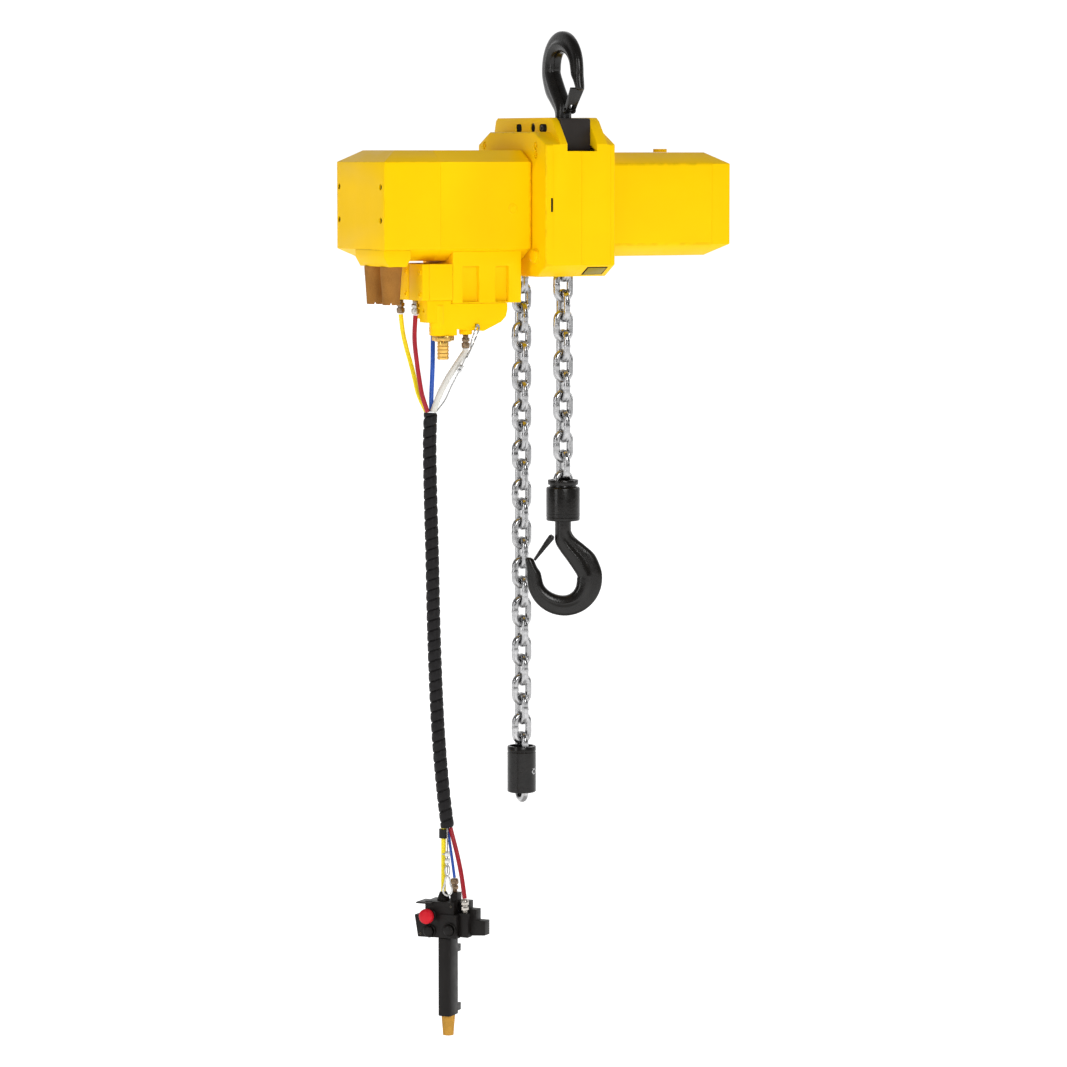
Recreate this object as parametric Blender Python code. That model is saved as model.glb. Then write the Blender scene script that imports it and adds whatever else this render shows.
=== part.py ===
"""Compressed-air chain hoist with a hose-fed pendant control, modelled as separate pieces.

Metres, +Z up. The origin is the seat of the suspension hook on the load line. +X runs along the
body from the motor to the gear end, and +Y runs from the load chain to the slack chain.
"""

import math

import bmesh
import bpy
from mathutils import Matrix, Vector

# ---- driving dimensions -------------------------------------------------------------------
GAP = 0.0003  # air left between pieces that touch
WALL = 0.008  # wall of the cast casings

# chain: 13 mm wire with a 36 mm pitch
CHAIN_WIRE = 0.013
CHAIN_WIDTH = 0.041
WHEEL_Y = 0.081  # half the distance between the two strands
WHEEL_Z = -0.2795
WHEEL_RADIUS = WHEEL_Y  # radius of the chain's middle line on the wheel
SHAFT_RADIUS = 0.0255
SHAFT_BORE = 0.0275

# body, along X
MOTOR_END_X = -0.3785
MOTOR_SEAM_X = -0.2645
MOTOR_FLANGE_X = (-0.075, -0.060)
CASTING_HALF = 0.060
GEAR_FLANGE_X = (0.060, 0.070)
GEAR_SEAM_X = 0.3065
GEAR_END_X = 0.3455
END_RUN = 0.037  # length of the hips at both ends

# motor and gear boxes, across
BOX_Y = (-0.021, 0.1735)
MOTOR_HALF_HEIGHT = 0.100
GEAR_HALF_HEIGHT = 0.096
BOX_CHAMFER_RUN = 0.033
BOX_CHAMFER_RISE = 0.021

# middle casting
CAST_Y = (-0.070, 0.1935)
CAST_Z = (-0.4105, -0.146)
ROOM_HALF = 0.052  # half the inner width of the casting
HUMP_X = (-0.044, 0.054)
HUMP_TOP = -0.120
CHAIN_SLOT = 0.025  # half the width of the holes that the chain runs through

# suspension
SHANK_RADIUS = 0.0155
NOTCH_X = (-0.030, 0.032)
NOTCH_Z = -0.181
NOTCH_BACK = 0.052
BRACKET_FRONT = -0.045
BRACKET_CORNER = 0.004
SUSPENSION_PIN = (0.037, -0.1385)
PIN_BORE = 0.0093

# hooks, both from one pattern: the bowl's middle at 0, 0, the shank up and the closed side to +x
HOOK_INNER = 0.0320
HOOK_LEAN = 0.0065  # how far the bowl is wider towards the tip than towards the closed side
HOOK_OUTER = 0.0700
HOOK_OUTER_LEAN = 0.0030
HOOK_STEP_DEG = 16.0  # one step is centred under the load, so that the seat is level
HOOK_STEPS = 12
HOOK_SIDES = 12
HOOK_THICKNESS = 0.0150  # half of it, at the closed side
HOOK_THROAT = 0.0860
HOOK_SEAT = HOOK_INNER * math.cos(math.radians(HOOK_STEP_DEG / 2))
LATCH_PIVOT = (-0.0225, 0.0750)
LATCH_LENGTH = 0.0505
LATCH_SLANT = math.radians(38.0)
LATCH_LUG = 0.0050
LATCH_EAR = 0.0095  # half the width at the ears
LATCH_FOOT = 0.0140  # half the width at the foot

# load side
BLOCK_TOP = -0.787
BLOCK_BOTTOM = -0.863
BLOCK_RADIUS = 0.03125
LOAD_HOOK_CENTRE_Z = -0.971
LOAD_HOOK_TURN = math.radians(-28.5)

# slack side
STOP_Z = (-1.393, -1.305)
STOP_RADIUS = 0.02725
SLACK_END = -1.426

# valve gear under the motor
VALVE_FRONT = -0.015
VALVE_BOTTOM = -0.457
VALVE_X = (-0.237, -0.096)
PILOT_X = (-0.299, -0.2375)
PILOT_BOTTOM = -0.451
LOWER_FRONT = -0.012
LOWER_BOTTOM = -0.515
POCKET_TOP = -0.4865
INLET_XY = (-0.2472, 0.005)
INLET_TURN = math.radians(-28.5)
WHITE_PORT = (-0.2007, 0.005)
WHITE_BOSS_BOTTOM = -0.514
YELLOW_PORT = (-0.2925, 0.0858)
RED_UPPER_PORT = (-0.2925, 0.0263)
BLUE_UPPER_PORT = (-0.2446, 0.050)
FITTING_LENGTH = 0.026

# pendant, across and deep in its own frame, which is turned about the vertical
PENDANT_PIVOT = (-0.188, 0.025, -0.497)
PENDANT_XY = (-0.2286, 0.025)
PENDANT_TURN = math.radians(-53.5)
HEAD_Z = (-1.629, -1.561)
HEAD_HALF = 0.022
RAISED_FACE = -0.026
TALL_TOP = -1.5465
LEDGE_TOP = -1.5805
GRIP_BOTTOM = -1.775
PENDANT_END = -1.813
STOP_AT = (-0.026, -1.5866)  # across and height of each button's middle
UP_AT = (0.0158, -1.6106)
DOWN_AT = (-0.0277, -1.6162)
STOP_NECK = 0.0077
BUTTON_NECK = 0.0072
NECK_DEPTH = 0.0075
BORE_DEPTH = 0.0145
BOOT_AT = (-0.0094, 0.0)  # across and deep of each port
BOOT_HEIGHT = 0.016
RED_PORT = (0.0387, -0.009)
BLUE_PORT = (0.0085, 0.010)
CLIP_AT = (0.0070, -0.0165)
CLIP_Z = (-1.551, -1.510)

# hoses
UPPER_DIAMETERS = {"yellow": 0.0085, "red": 0.0085, "blue": 0.0085, "white": 0.0115}
LOWER_DIAMETERS = {"yellow": 0.0090, "red": 0.0085, "blue": 0.0055}
SLEEVE_DIAMETER = 0.0250
WIRE_DIAMETER = 0.0025
SLEEVE_TOP = (-0.2626, 0.0250, -0.6570)
SLEEVE_FOOT = (-0.2297, 0.0250, -1.4230)

YELLOW_PAINT = (0.92, 0.62, 0.01)
BLACK_PAINT = (0.02, 0.02, 0.02)
GREY_STEEL = (0.56, 0.57, 0.58)
NICKEL = (0.55, 0.50, 0.43)
BRASS = (0.72, 0.50, 0.20)
BRONZE = (0.50, 0.30, 0.12)


# ---- scene and materials ------------------------------------------------------------------
def clear_scene():
    for old in list(bpy.data.objects):
        bpy.data.objects.remove(old, do_unlink=True)


def material(name, colour, roughness, metallic=0.0):
    found = bpy.data.materials.get(name)
    if found:
        return found
    made = bpy.data.materials.new(name)
    made.use_nodes = True
    shader = made.node_tree.nodes["Principled BSDF"]
    shader.inputs["Base Color"].default_value = (*colour, 1.0)
    shader.inputs["Roughness"].default_value = roughness
    shader.inputs["Metallic"].default_value = metallic
    return made


def yellow_paint():
    return material("yellow_paint", YELLOW_PAINT, 0.35)


def black_steel():
    return material("black_steel", BLACK_PAINT, 0.35, 0.3)


def bright_steel():
    return material("bright_steel", GREY_STEEL, 0.28, 1.0)


def machined_steel():
    return material("machined_steel", (0.42, 0.42, 0.43), 0.35, 1.0)


def black_plastic():
    return material("black_plastic", (0.025, 0.024, 0.024), 0.4)


def nickel():
    return material("nickel", NICKEL, 0.3, 1.0)


def brass():
    return material("brass", BRASS, 0.25, 1.0)


def sintered_bronze():
    return material("sintered_bronze", BRONZE, 0.7, 0.4)


def hose_material(name, colour):
    return material(name, colour, 0.4)


# ---- shape helpers ------------------------------------------------------------------------
def add_ring(bm, points):
    return [bm.verts.new(p) for p in points]


def skin(bm, rings, closed=False):
    """Side faces between neighbouring rings, with flat ends unless the rings close on themselves."""
    pairs = list(zip(rings, rings[1:]))
    if closed:
        pairs.append((rings[-1], rings[0]))
    for low, high in pairs:
        count = len(low)
        for i in range(count):
            j = (i + 1) % count
            bm.faces.new((low[i], low[j], high[j], high[i]))
    if not closed:
        bm.faces.new(rings[0])
        bm.faces.new(rings[-1])


def tidy(bm):
    bmesh.ops.remove_doubles(bm, verts=bm.verts, dist=1e-6)
    bmesh.ops.dissolve_degenerate(bm, edges=bm.edges, dist=1e-7)
    bmesh.ops.recalc_face_normals(bm, faces=bm.faces)
    return bm


def lay(axis, along, a, b):
    """A point at `along` on an axis, with a and b on the other two in X, Y, Z order."""
    return {"X": (along, a, b), "Y": (a, along, b), "Z": (a, b, along)}[axis]


def prism(outline, axis, start, end):
    bm = bmesh.new()
    rings = [add_ring(bm, [lay(axis, at, a, b) for a, b in outline]) for at in (start, end)]
    skin(bm, rings)
    return tidy(bm)


def box(x, y, z):
    return prism([(x[0], y[0]), (x[1], y[0]), (x[1], y[1]), (x[0], y[1])], "Z", z[0], z[1])


def circle(radius, count, centre=(0.0, 0.0), first=0.0):
    steps = [first + math.tau * i / count for i in range(count)]
    return [(centre[0] + radius * math.cos(a), centre[1] + radius * math.sin(a)) for a in steps]


def turned(profile, axis, centre, count=20, ring=False):
    """Solid of revolution: profile holds (distance along the axis, radius) pairs.

    A ring's profile is a closed loop that stays off the axis."""
    bm = bmesh.new()
    rings = []
    for along, radius in profile:
        points = circle(max(radius, 1e-5), count, centre)
        rings.append(add_ring(bm, [lay(axis, along, a, b) for a, b in points]))
    skin(bm, rings, closed=ring)
    return tidy(bm)


def washer(axis, centre, start, end, inner, outer, count=20):
    profile = [(start, inner), (start, outer), (end, outer), (end, inner)]
    return turned(profile, axis, centre, count, ring=True)


def rod(axis, centre, start, end, radius, count=20):
    return turned([(start, radius), (end, radius)], axis, centre, count)


def rounded(width, depth, corner, steps=3):
    """Outline of a rectangle with round corners, about its own middle."""
    outline = []
    for k, (sx, sy) in enumerate(((1, 1), (-1, 1), (-1, -1), (1, -1))):
        for i in range(steps + 1):
            turn = math.pi / 2 * (k + i / steps)
            across = sx * (width / 2 - corner) + corner * math.cos(turn)
            deep = sy * (depth / 2 - corner) + corner * math.sin(turn)
            outline.append((across, deep))
    return outline


def hexagon(across_flats, centre=(0.0, 0.0), first=0.0):
    return circle(across_flats / math.sqrt(3), 6, centre, first)


def move(bm, matrix):
    bmesh.ops.transform(bm, matrix=matrix, verts=bm.verts)
    return bm


# ---- objects ------------------------------------------------------------------------------
def pivot(name, at):
    """An empty on a joint's axis, for the pieces that turn or slide there."""
    empty = bpy.data.objects.new(name, None)
    empty.location = at
    bpy.context.scene.collection.objects.link(empty)
    return empty


def add(name, bm, look, joint=None, smooth=True):
    """Makes the object. Its mesh is given in row coordinates, and its origin is put on its joint."""
    origin = Vector(joint.location) if joint else Vector()
    move(bm, Matrix.Translation(-origin))
    mesh = bpy.data.meshes.new(name)
    bm.to_mesh(mesh)
    bm.free()
    mesh.materials.append(look)
    if smooth:
        mesh.shade_smooth()
        mesh.set_sharp_from_angle(angle=math.radians(35))
    made = bpy.data.objects.new(name, mesh)
    bpy.context.scene.collection.objects.link(made)
    if joint:
        made.parent = joint
    return made


def combine(target, operation, shapes):
    """Cuts the shapes out of the target, or joins them to it."""
    for index, bm in enumerate(shapes):
        tool = add(f"{target.name}_{operation.lower()}_{index}", bm, target.data.materials[0], target.parent)
        tool.hide_render = True
        tool.display_type = "WIRE"
        change = target.modifiers.new(tool.name, "BOOLEAN")
        change.operation = operation
        change.object = tool
        change.solver = "EXACT"
    return target


def cut(target, *shapes):
    return combine(target, "DIFFERENCE", shapes)


def join(target, *shapes):
    return combine(target, "UNION", shapes)


# ---- casings ------------------------------------------------------------------------------
def octagon(half_height, inset=0.0):
    """Cross-section of the motor and gear boxes: a rectangle with long flat chamfers."""
    slope = math.hypot(BOX_CHAMFER_RUN, BOX_CHAMFER_RISE)
    shift = inset * (slope - BOX_CHAMFER_RUN) / BOX_CHAMFER_RISE
    front, rear = BOX_Y[0] + inset, BOX_Y[1] - inset
    top = half_height - inset
    side = half_height - BOX_CHAMFER_RISE - shift
    run = (top - side) * BOX_CHAMFER_RUN / BOX_CHAMFER_RISE
    upper = [(front, side), (front + run, top), (rear - run, top), (rear, side)]
    lower = [(y, -z) for y, z in reversed(upper)]
    return [(y, WHEEL_Z + z) for y, z in upper + lower]


def end_section(half_height, inset=0.0):
    """The box's section at its outer end, where the chamfers have eaten the top and bottom."""
    outline = octagon(half_height, inset)
    front, rear = min(y for y, z in outline), max(y for y, z in outline)
    flat = min(abs(z - WHEEL_Z) for y, z in outline)
    section = []
    for y, z in outline:
        side = front if y < (front + rear) / 2 else rear
        section.append((side, WHEEL_Z + math.copysign(flat, z - WHEEL_Z)))
    return section


def box_hull(half_height, seam, end, grow=0.0):
    """Outer shape of a motor or gear box end, closed: straight from the seam, then hipped."""
    outward = math.copysign(1.0, end - seam)
    bm = bmesh.new()
    full = octagon(half_height, -grow)
    small = end_section(half_height, -grow)
    stations = (
        (seam, full),
        (end - outward * END_RUN, full),
        (end + outward * grow, small),
    )
    rings = [add_ring(bm, [(x, y, z) for y, z in section]) for x, section in stations]
    skin(bm, rings)
    return tidy(bm)


def shell_piece(name, half_height, seam, end):
    cover = add(name, box_hull(half_height, seam, end), yellow_paint())
    inward = math.copysign(1.0, seam - end)
    room = octagon(half_height, WALL + BOX_CHAMFER_RISE)
    return cut(cover, prism(room, "X", end + inward * WALL, seam + inward * 0.01))


def cast_outline(inset=0.0, rear_wall=None):
    """Side view of the middle casting and its flanges, bevelled at all four corners."""
    front = CAST_Y[0] + inset
    rear = CAST_Y[1] - (inset if rear_wall is None else rear_wall)
    bottom, top = CAST_Z[0] + inset, CAST_Z[1] - inset
    top_run, top_rise = 0.045, 0.023
    foot_run, foot_rise = 0.036, 0.0215
    return [
        (front, bottom + foot_rise),
        (front + foot_run, bottom),
        (rear - foot_run, bottom),
        (rear, bottom + foot_rise),
        (rear, top - top_rise),
        (rear - top_run, top),
        (front + top_run, top),
        (front, top - top_rise),
    ]


def hump_outline():
    """Side view of the lug on top of the casting that the suspension hook hangs in."""
    return [
        (CAST_Y[0], -0.185),
        (CAST_Y[0], -0.168),
        (CAST_Y[0] + 0.031, HUMP_TOP - 0.007),
        (CAST_Y[0] + 0.041, HUMP_TOP),
        (CAST_Y[1] - 0.020, HUMP_TOP),
        (CAST_Y[1] - 0.0125, HUMP_TOP - 0.005),
        (CAST_Y[1], -0.168),
        (CAST_Y[1], -0.185),
    ]


def centre_housing(name, inner, outer):
    """One half of the middle casting, from the seam at X = 0 out to its flange."""
    side = math.copysign(1.0, outer)
    half = add(name, prism(cast_outline(), "X", inner, outer), yellow_paint())
    hump_end = HUMP_X[0] if side < 0 else HUMP_X[1]
    join(half, prism(hump_outline(), "X", inner, hump_end))
    room = prism(cast_outline(0.010, 0.004), "X", -side * 0.001, side * ROOM_HALF)
    notch_side = NOTCH_X[0] if side < 0 else NOTCH_X[1]
    notch = box(sorted((-side * 0.001, notch_side)), (-0.090, NOTCH_BACK), (NOTCH_Z, -0.100))
    load_way = box(sorted((-side * 0.001, side * CHAIN_SLOT)), (-CHAIN_SLOT, CHAIN_SLOT), (-0.430, -0.380))
    slack_y = 2 * WHEEL_Y
    slack_way = box(sorted((-side * 0.001, side * CHAIN_SLOT)),
                    (slack_y - CHAIN_SLOT, slack_y + 0.0215), (-0.430, -0.380))
    shaft = rod("X", (WHEEL_Y, WHEEL_Z), side * 0.040, side * 0.070, SHAFT_BORE)
    pin = rod("X", SUSPENSION_PIN, side * 0.001, side * 0.080, PIN_BORE, 12)
    return cut(half, room, notch, load_way, slack_way, shaft, pin)


def flange(name, start, end):
    plate = add(name, prism(cast_outline(), "X", start, end), yellow_paint())
    return cut(plate, rod("X", (WHEEL_Y, WHEEL_Z), start - 0.01, end + 0.01, SHAFT_BORE))


def build_casings():
    centre_housing("centre_housing_left", -GAP / 2, -CASTING_HALF + GAP)
    centre_housing("centre_housing_right", GAP / 2, CASTING_HALF - GAP)
    flange("motor_flange", *MOTOR_FLANGE_X)
    flange("gear_flange", *GEAR_FLANGE_X)

    inner = MOTOR_FLANGE_X[0] - GAP
    motor = add("motor_housing", prism(octagon(MOTOR_HALF_HEIGHT), "X", MOTOR_SEAM_X, inner), yellow_paint())
    cut(motor,
        prism(octagon(MOTOR_HALF_HEIGHT, WALL), "X", MOTOR_SEAM_X - 0.01, inner - WALL),
        rod("X", (WHEEL_Y, WHEEL_Z), inner - 0.03, inner + 0.01, SHAFT_BORE))
    shell_piece("motor_end_cover", MOTOR_HALF_HEIGHT, MOTOR_SEAM_X - GAP, MOTOR_END_X)

    start = GEAR_FLANGE_X[1] + GAP
    gear = add("gear_housing", prism(octagon(GEAR_HALF_HEIGHT), "X", start, GEAR_SEAM_X), yellow_paint())
    cut(gear, prism(octagon(GEAR_HALF_HEIGHT, WALL), "X", start - 0.01, GEAR_SEAM_X + 0.01))
    shell_piece("gear_end_cap", GEAR_HALF_HEIGHT, GEAR_SEAM_X + GAP, GEAR_END_X)

    top = WHEEL_Z + GEAR_HALF_HEIGHT
    add("oil_plug", rod("Z", (0.246, 0.069), top + GAP, top + 0.0065, 0.0129, 16), yellow_paint())


# ---- drive --------------------------------------------------------------------------------
def wheel_section(across, radial):
    """Cross-shaped section of a chain strand: one pair of links flat, the next on edge."""
    wide, thin = CHAIN_WIDTH / 2, CHAIN_WIRE / 2
    corners = [(wide, thin), (thin, thin), (thin, wide)]
    outline = []
    for sx, sy in ((1, 1), (-1, 1), (-1, -1), (1, -1)):
        quarter = [(sx * a, sy * b) for a, b in corners]
        outline += quarter if sx * sy > 0 else quarter[::-1]
    return [(across + a, radial + b) for a, b in outline]


def chain_on_wheel(steps=12):
    """The chain where it lies over the wheel, from one strand to the other."""
    bm = bmesh.new()
    rings = []
    for i in range(steps + 1):
        angle = math.pi * i / steps
        ring = []
        for across, radius in wheel_section(0.0, WHEEL_RADIUS):
            y = WHEEL_Y - radius * math.cos(angle)
            ring.append((across, y, WHEEL_Z + radius * math.sin(angle)))
        rings.append(add_ring(bm, ring))
    skin(bm, rings)
    return tidy(bm)


def strand(x, y, top, bottom):
    return prism(wheel_section(x, y), "Z", bottom, top)


def build_drive(wheel_joint, motor_joint):
    axis = (WHEEL_Y, WHEEL_Z)
    clearance = 0.0014
    bed = WHEEL_RADIUS - CHAIN_WIRE / 2 - clearance
    groove = WHEEL_RADIUS - CHAIN_WIDTH / 2 - clearance
    slot = CHAIN_WIRE / 2 + 0.0006
    rim = CHAIN_WIDTH / 2 + 0.0006
    bore, shaft = 0.0100, SHAFT_RADIUS
    side = [(0.0735, bore), (0.0735, shaft), (0.031, shaft), (0.029, 0.088), (rim, 0.088), (rim, bed),
            (slot, bed), (slot, groove)]
    mirrored = [(-along, radius) for along, radius in reversed(side)]
    add("load_wheel", turned(side + mirrored, "X", axis, 28, ring=True), machined_steel(), wheel_joint)
    add("wheel_chain", chain_on_wheel(), bright_steel(), wheel_joint)

    add("motor_cylinder", washer("X", (WHEEL_Y, WHEEL_Z - 0.004), -0.238, -0.112, 0.052, 0.062, 24),
        machined_steel())
    rotor = [(-0.256, 0.0085), (-0.240, 0.0085), (-0.240, 0.046), (-0.110, 0.046), (-0.110, 0.0095),
             (0.2340, 0.0095)]
    add("rotor_shaft", turned(rotor, "X", axis, 20), machined_steel(), motor_joint)
    add("planetary_cartridge", washer("X", axis, 0.0750, 0.1650, 0.0100, 0.0640, 24), machined_steel())
    add("brake_disc", washer("X", axis, 0.2000, 0.2080, 0.00975, 0.0480, 24), machined_steel(), motor_joint)


# ---- hooks --------------------------------------------------------------------------------
def hook_stations(shank_top):
    """Places along the hook: (inner x, inner z, outer x, outer z, half thickness)."""
    round_half = SHANK_RADIUS * math.cos(math.pi / HOOK_SIDES)
    places = [
        (-round_half, shank_top, round_half, shank_top, round_half),
        (-round_half, HOOK_THROAT, round_half, HOOK_THROAT, round_half),
        (-0.0150, 0.0660, 0.0220, 0.0760, HOOK_THICKNESS),
        (-0.0060, 0.0530, 0.0420, 0.0590, HOOK_THICKNESS),
        (0.0100, 0.0310, 0.0610, 0.0410, HOOK_THICKNESS),
    ]
    for i in range(HOOK_STEPS + 1):
        angle = math.radians(-90.0 + HOOK_STEP_DEG * (6.5 - i))
        inner = HOOK_INNER - HOOK_LEAN * math.cos(angle) ** 3
        outer = HOOK_OUTER + HOOK_OUTER_LEAN * math.cos(angle)
        thin = 1.0 - 0.025 * max(0, i - 6)
        places.append((inner * math.cos(angle), inner * math.sin(angle),
                       outer * math.cos(angle), outer * math.sin(angle), HOOK_THICKNESS * thin))
    places += [
        (-0.0435, 0.0120, -0.0675, 0.0120, 0.0115),
        (-0.0496, 0.0210, -0.0685, 0.0220, 0.0100),
        (-0.0535, 0.0330, -0.0705, 0.0330, 0.0085),
        (-0.0590, 0.0385, -0.0670, 0.0385, 0.0050),
    ]
    return places


def hook_body(shank_top, count=HOOK_SIDES):
    """Swept hook in the XZ plane. The section has a flat on its inner side, for the load to sit on."""
    to_corner = 1.0 / math.cos(math.pi / count)
    bm = bmesh.new()
    rings = []
    for in_x, in_z, out_x, out_z, thick in hook_stations(shank_top):
        ring = []
        for i in range(count):
            turn = math.tau * (i + 0.5) / count
            share = 0.5 + 0.5 * math.cos(turn) * to_corner
            ring.append((in_x + (out_x - in_x) * share, thick * math.sin(turn) * to_corner,
                         in_z + (out_z - in_z) * share))
        rings.append(add_ring(bm, ring))
    skin(bm, rings)
    return tidy(bm)


def hook_lug():
    """Lug beside the neck that the latch turns on."""
    x, z = LATCH_PIVOT
    outline = [(x - 0.0065, z - 0.001), (x - 0.0020, z + 0.0065), (x + 0.012, z + 0.010),
               (x + 0.016, z - 0.010), (x + 0.004, z - 0.0095), (x - 0.004, z - 0.006)]
    return prism(outline, "Y", -LATCH_LUG, LATCH_LUG)


def latch_place():
    """From the latch's own frame, pivot at 0, 0 and foot at -z, to the hook's plane."""
    x, z = LATCH_PIVOT
    return Matrix.Translation((x, 0.0, z)) @ Matrix.Rotation(LATCH_SLANT, 4, "Y")


def latch_body():
    """Plate to the hook's tip, round at the pivot and wider towards its foot."""
    stations = (  # height, inner side, outer side, half width
        (0.0058, -0.0030, 0.0030, LATCH_EAR),
        (0.0020, -0.0055, 0.0055, LATCH_EAR),
        (-0.0160, -0.0045, 0.0045, LATCH_EAR + 0.0005),
        (-LATCH_LENGTH, -0.0010, 0.0030, LATCH_FOOT),
    )
    bm = bmesh.new()
    rings = []
    for height, low, high, half in stations:
        corners = ((low, -half), (high, -half), (high, half), (low, half))
        rings.append(add_ring(bm, [(x, y, height) for x, y in corners]))
    skin(bm, rings)
    return move(tidy(bm), latch_place())


def latch_slot():
    room = LATCH_LUG + 0.0005
    return move(box((-0.02, 0.02), (-room, room), (-0.016, 0.02)), latch_place())


def latch_pin(radius, half_length):
    x, z = LATCH_PIVOT
    return rod("Y", (x, z), -half_length, half_length, radius, 10)


def build_hook(prefix, place, shank_top, hook_joint, latch_joint, head):
    """One hook with its latch. `place` moves the hook's own plane to where it hangs."""
    hook = add(f"{prefix}_hook", move(hook_body(shank_top), place), black_steel(), hook_joint)
    join(hook, move(hook_lug(), place), move(head, place))
    cut(hook, move(latch_pin(0.0033, 0.02), place))
    latch = add(f"{prefix}_latch", move(latch_body(), place), black_steel(), latch_joint)
    cut(latch, move(latch_slot(), place))
    join(latch, move(latch_pin(0.0030, 0.0110), place))


def shank_head(low, high, radius):
    """Nut turned on the end of a shank, joined to it."""
    return rod("Z", (0.0, 0.0), low, high, radius, 16)


def load_hook_place():
    turn = Matrix.Rotation(LOAD_HOOK_TURN, 4, "Z")
    return Matrix.Translation((0.0, 0.0, LOAD_HOOK_CENTRE_Z)) @ turn


def top_hook_place():
    """Upside down, with the closed side close to +Y and the opening to -Y."""
    over = Matrix.Rotation(math.pi, 4, "X")
    turn = Matrix.Rotation(math.pi / 2, 4, "Z")
    return Matrix.Translation((0.0, 0.0, -HOOK_SEAT)) @ turn @ over


def latch_axis_point(place):
    return place @ Vector((LATCH_PIVOT[0], 0.0, LATCH_PIVOT[1]))


def build_suspension(hook_joint, latch_joint):
    place = top_hook_place()
    top = 0.1640
    head = shank_head(top - 0.0135, top, 0.0200)
    build_hook("top", place, top - 0.002, hook_joint, latch_joint, head)

    front, back, corner = BRACKET_FRONT, NOTCH_BACK - GAP, BRACKET_CORNER
    low, high = NOTCH_Z + GAP, HUMP_TOP - 0.001
    outline = [(front + corner, low), (back, low), (back, high), (front + corner, high),
               (front + corner * 0.3, high - corner * 0.3), (front, high - corner),
               (front, low + corner), (front + corner * 0.3, low + corner * 0.3)]
    bracket = add("suspension_bracket", prism(outline, "X", NOTCH_X[0] + GAP, NOTCH_X[1] - GAP),
                  black_plastic())
    cut(bracket, rod("Z", (0.0, 0.0), -0.20, -0.10, SHANK_RADIUS + 0.0005),
        rod("X", SUSPENSION_PIN, -0.05, 0.05, PIN_BORE, 12))
    add("suspension_pin", rod("X", SUSPENSION_PIN, HUMP_X[0] + 0.002, HUMP_X[1] - 0.002, 0.0090, 12),
        bright_steel())


def hook_block_body(split):
    """Collar of the load hook, hollow below for the head of the hook's shank."""
    room = 0.0250
    outline = [(split, BLOCK_RADIUS), (-0.800, BLOCK_RADIUS), (-0.7975, 0.0280), (-0.7970, 0.0240),
               (-0.7960, 0.0275), (BLOCK_TOP, 0.0275), (BLOCK_TOP, 0.0), (-0.8180, 0.0), (-0.8180, room),
               (split, room)]
    return turned(outline, "Z", (0.0, 0.0), 24)


def build_load_side(line_joint, hook_joint, latch_joint):
    add("load_chain", strand(0.0, 0.0, WHEEL_Z - GAP, BLOCK_TOP + GAP), bright_steel(), line_joint)
    split = -0.8500
    add("hook_block", hook_block_body(split), black_steel(), line_joint)
    ring = washer("Z", (0.0, 0.0), BLOCK_BOTTOM, split - GAP, SHANK_RADIUS + 0.0005, BLOCK_RADIUS, 24)
    add("hook_block_cap", ring, black_steel(), line_joint)
    place = load_hook_place()
    top = 0.150
    head = shank_head(top - 0.024, top, 0.0225)
    build_hook("load", place, top - 0.004, hook_joint, latch_joint, head)


def build_slack_side(slack_joint):
    y = 2 * WHEEL_Y
    add("slack_chain", strand(0.0, y, WHEEL_Z - GAP, SLACK_END), bright_steel(), slack_joint)
    low, high = STOP_Z
    bore = 0.0220
    profile = [(low, bore), (low, STOP_RADIUS - 0.002), (low + 0.002, STOP_RADIUS),
               (high - 0.011, STOP_RADIUS), (high - 0.010, STOP_RADIUS - 0.0012),
               (high - 0.009, STOP_RADIUS), (high, STOP_RADIUS), (high, bore)]
    stop = add("chain_stop", turned(profile, "Z", (0.0, y), 24, ring=True), black_steel(), slack_joint)
    out = math.radians(-61.5)
    place = Matrix.Translation((0.0, y, (low + high) / 2 - 0.003)) @ Matrix.Rotation(out, 4, "Z")
    cut(stop, move(rod("X", (0.0, 0.0), 0.0235, 0.040, 0.0063, 12), place))
    add("stop_screw", move(rod("X", (0.0, 0.0), 0.0240, 0.0280, 0.0060, 12), place), bright_steel(),
        slack_joint)


# ---- valve gear under the motor -----------------------------------------------------------
def build_manifold(hull):
    outline = [(MOTOR_END_X + 0.010, -0.389), (-0.333, -0.389), (-0.325, -0.3745), (-0.325, -0.350),
               (MOTOR_END_X, -0.350), (MOTOR_END_X, -0.372)]
    manifold = add("exhaust_manifold", prism(outline, "Y", BOX_Y[0] + 0.001, 0.098), yellow_paint())
    cut(manifold, hull)
    for name, y in (("silencer_front", 0.006), ("silencer_rear", 0.070)):
        profile = [(-0.458, 0.0155), (-0.4545, 0.0158), (-0.389 - GAP, 0.0200)]
        add(name, turned(profile, "Z", (-0.352, y), 20), sintered_bronze())


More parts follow.
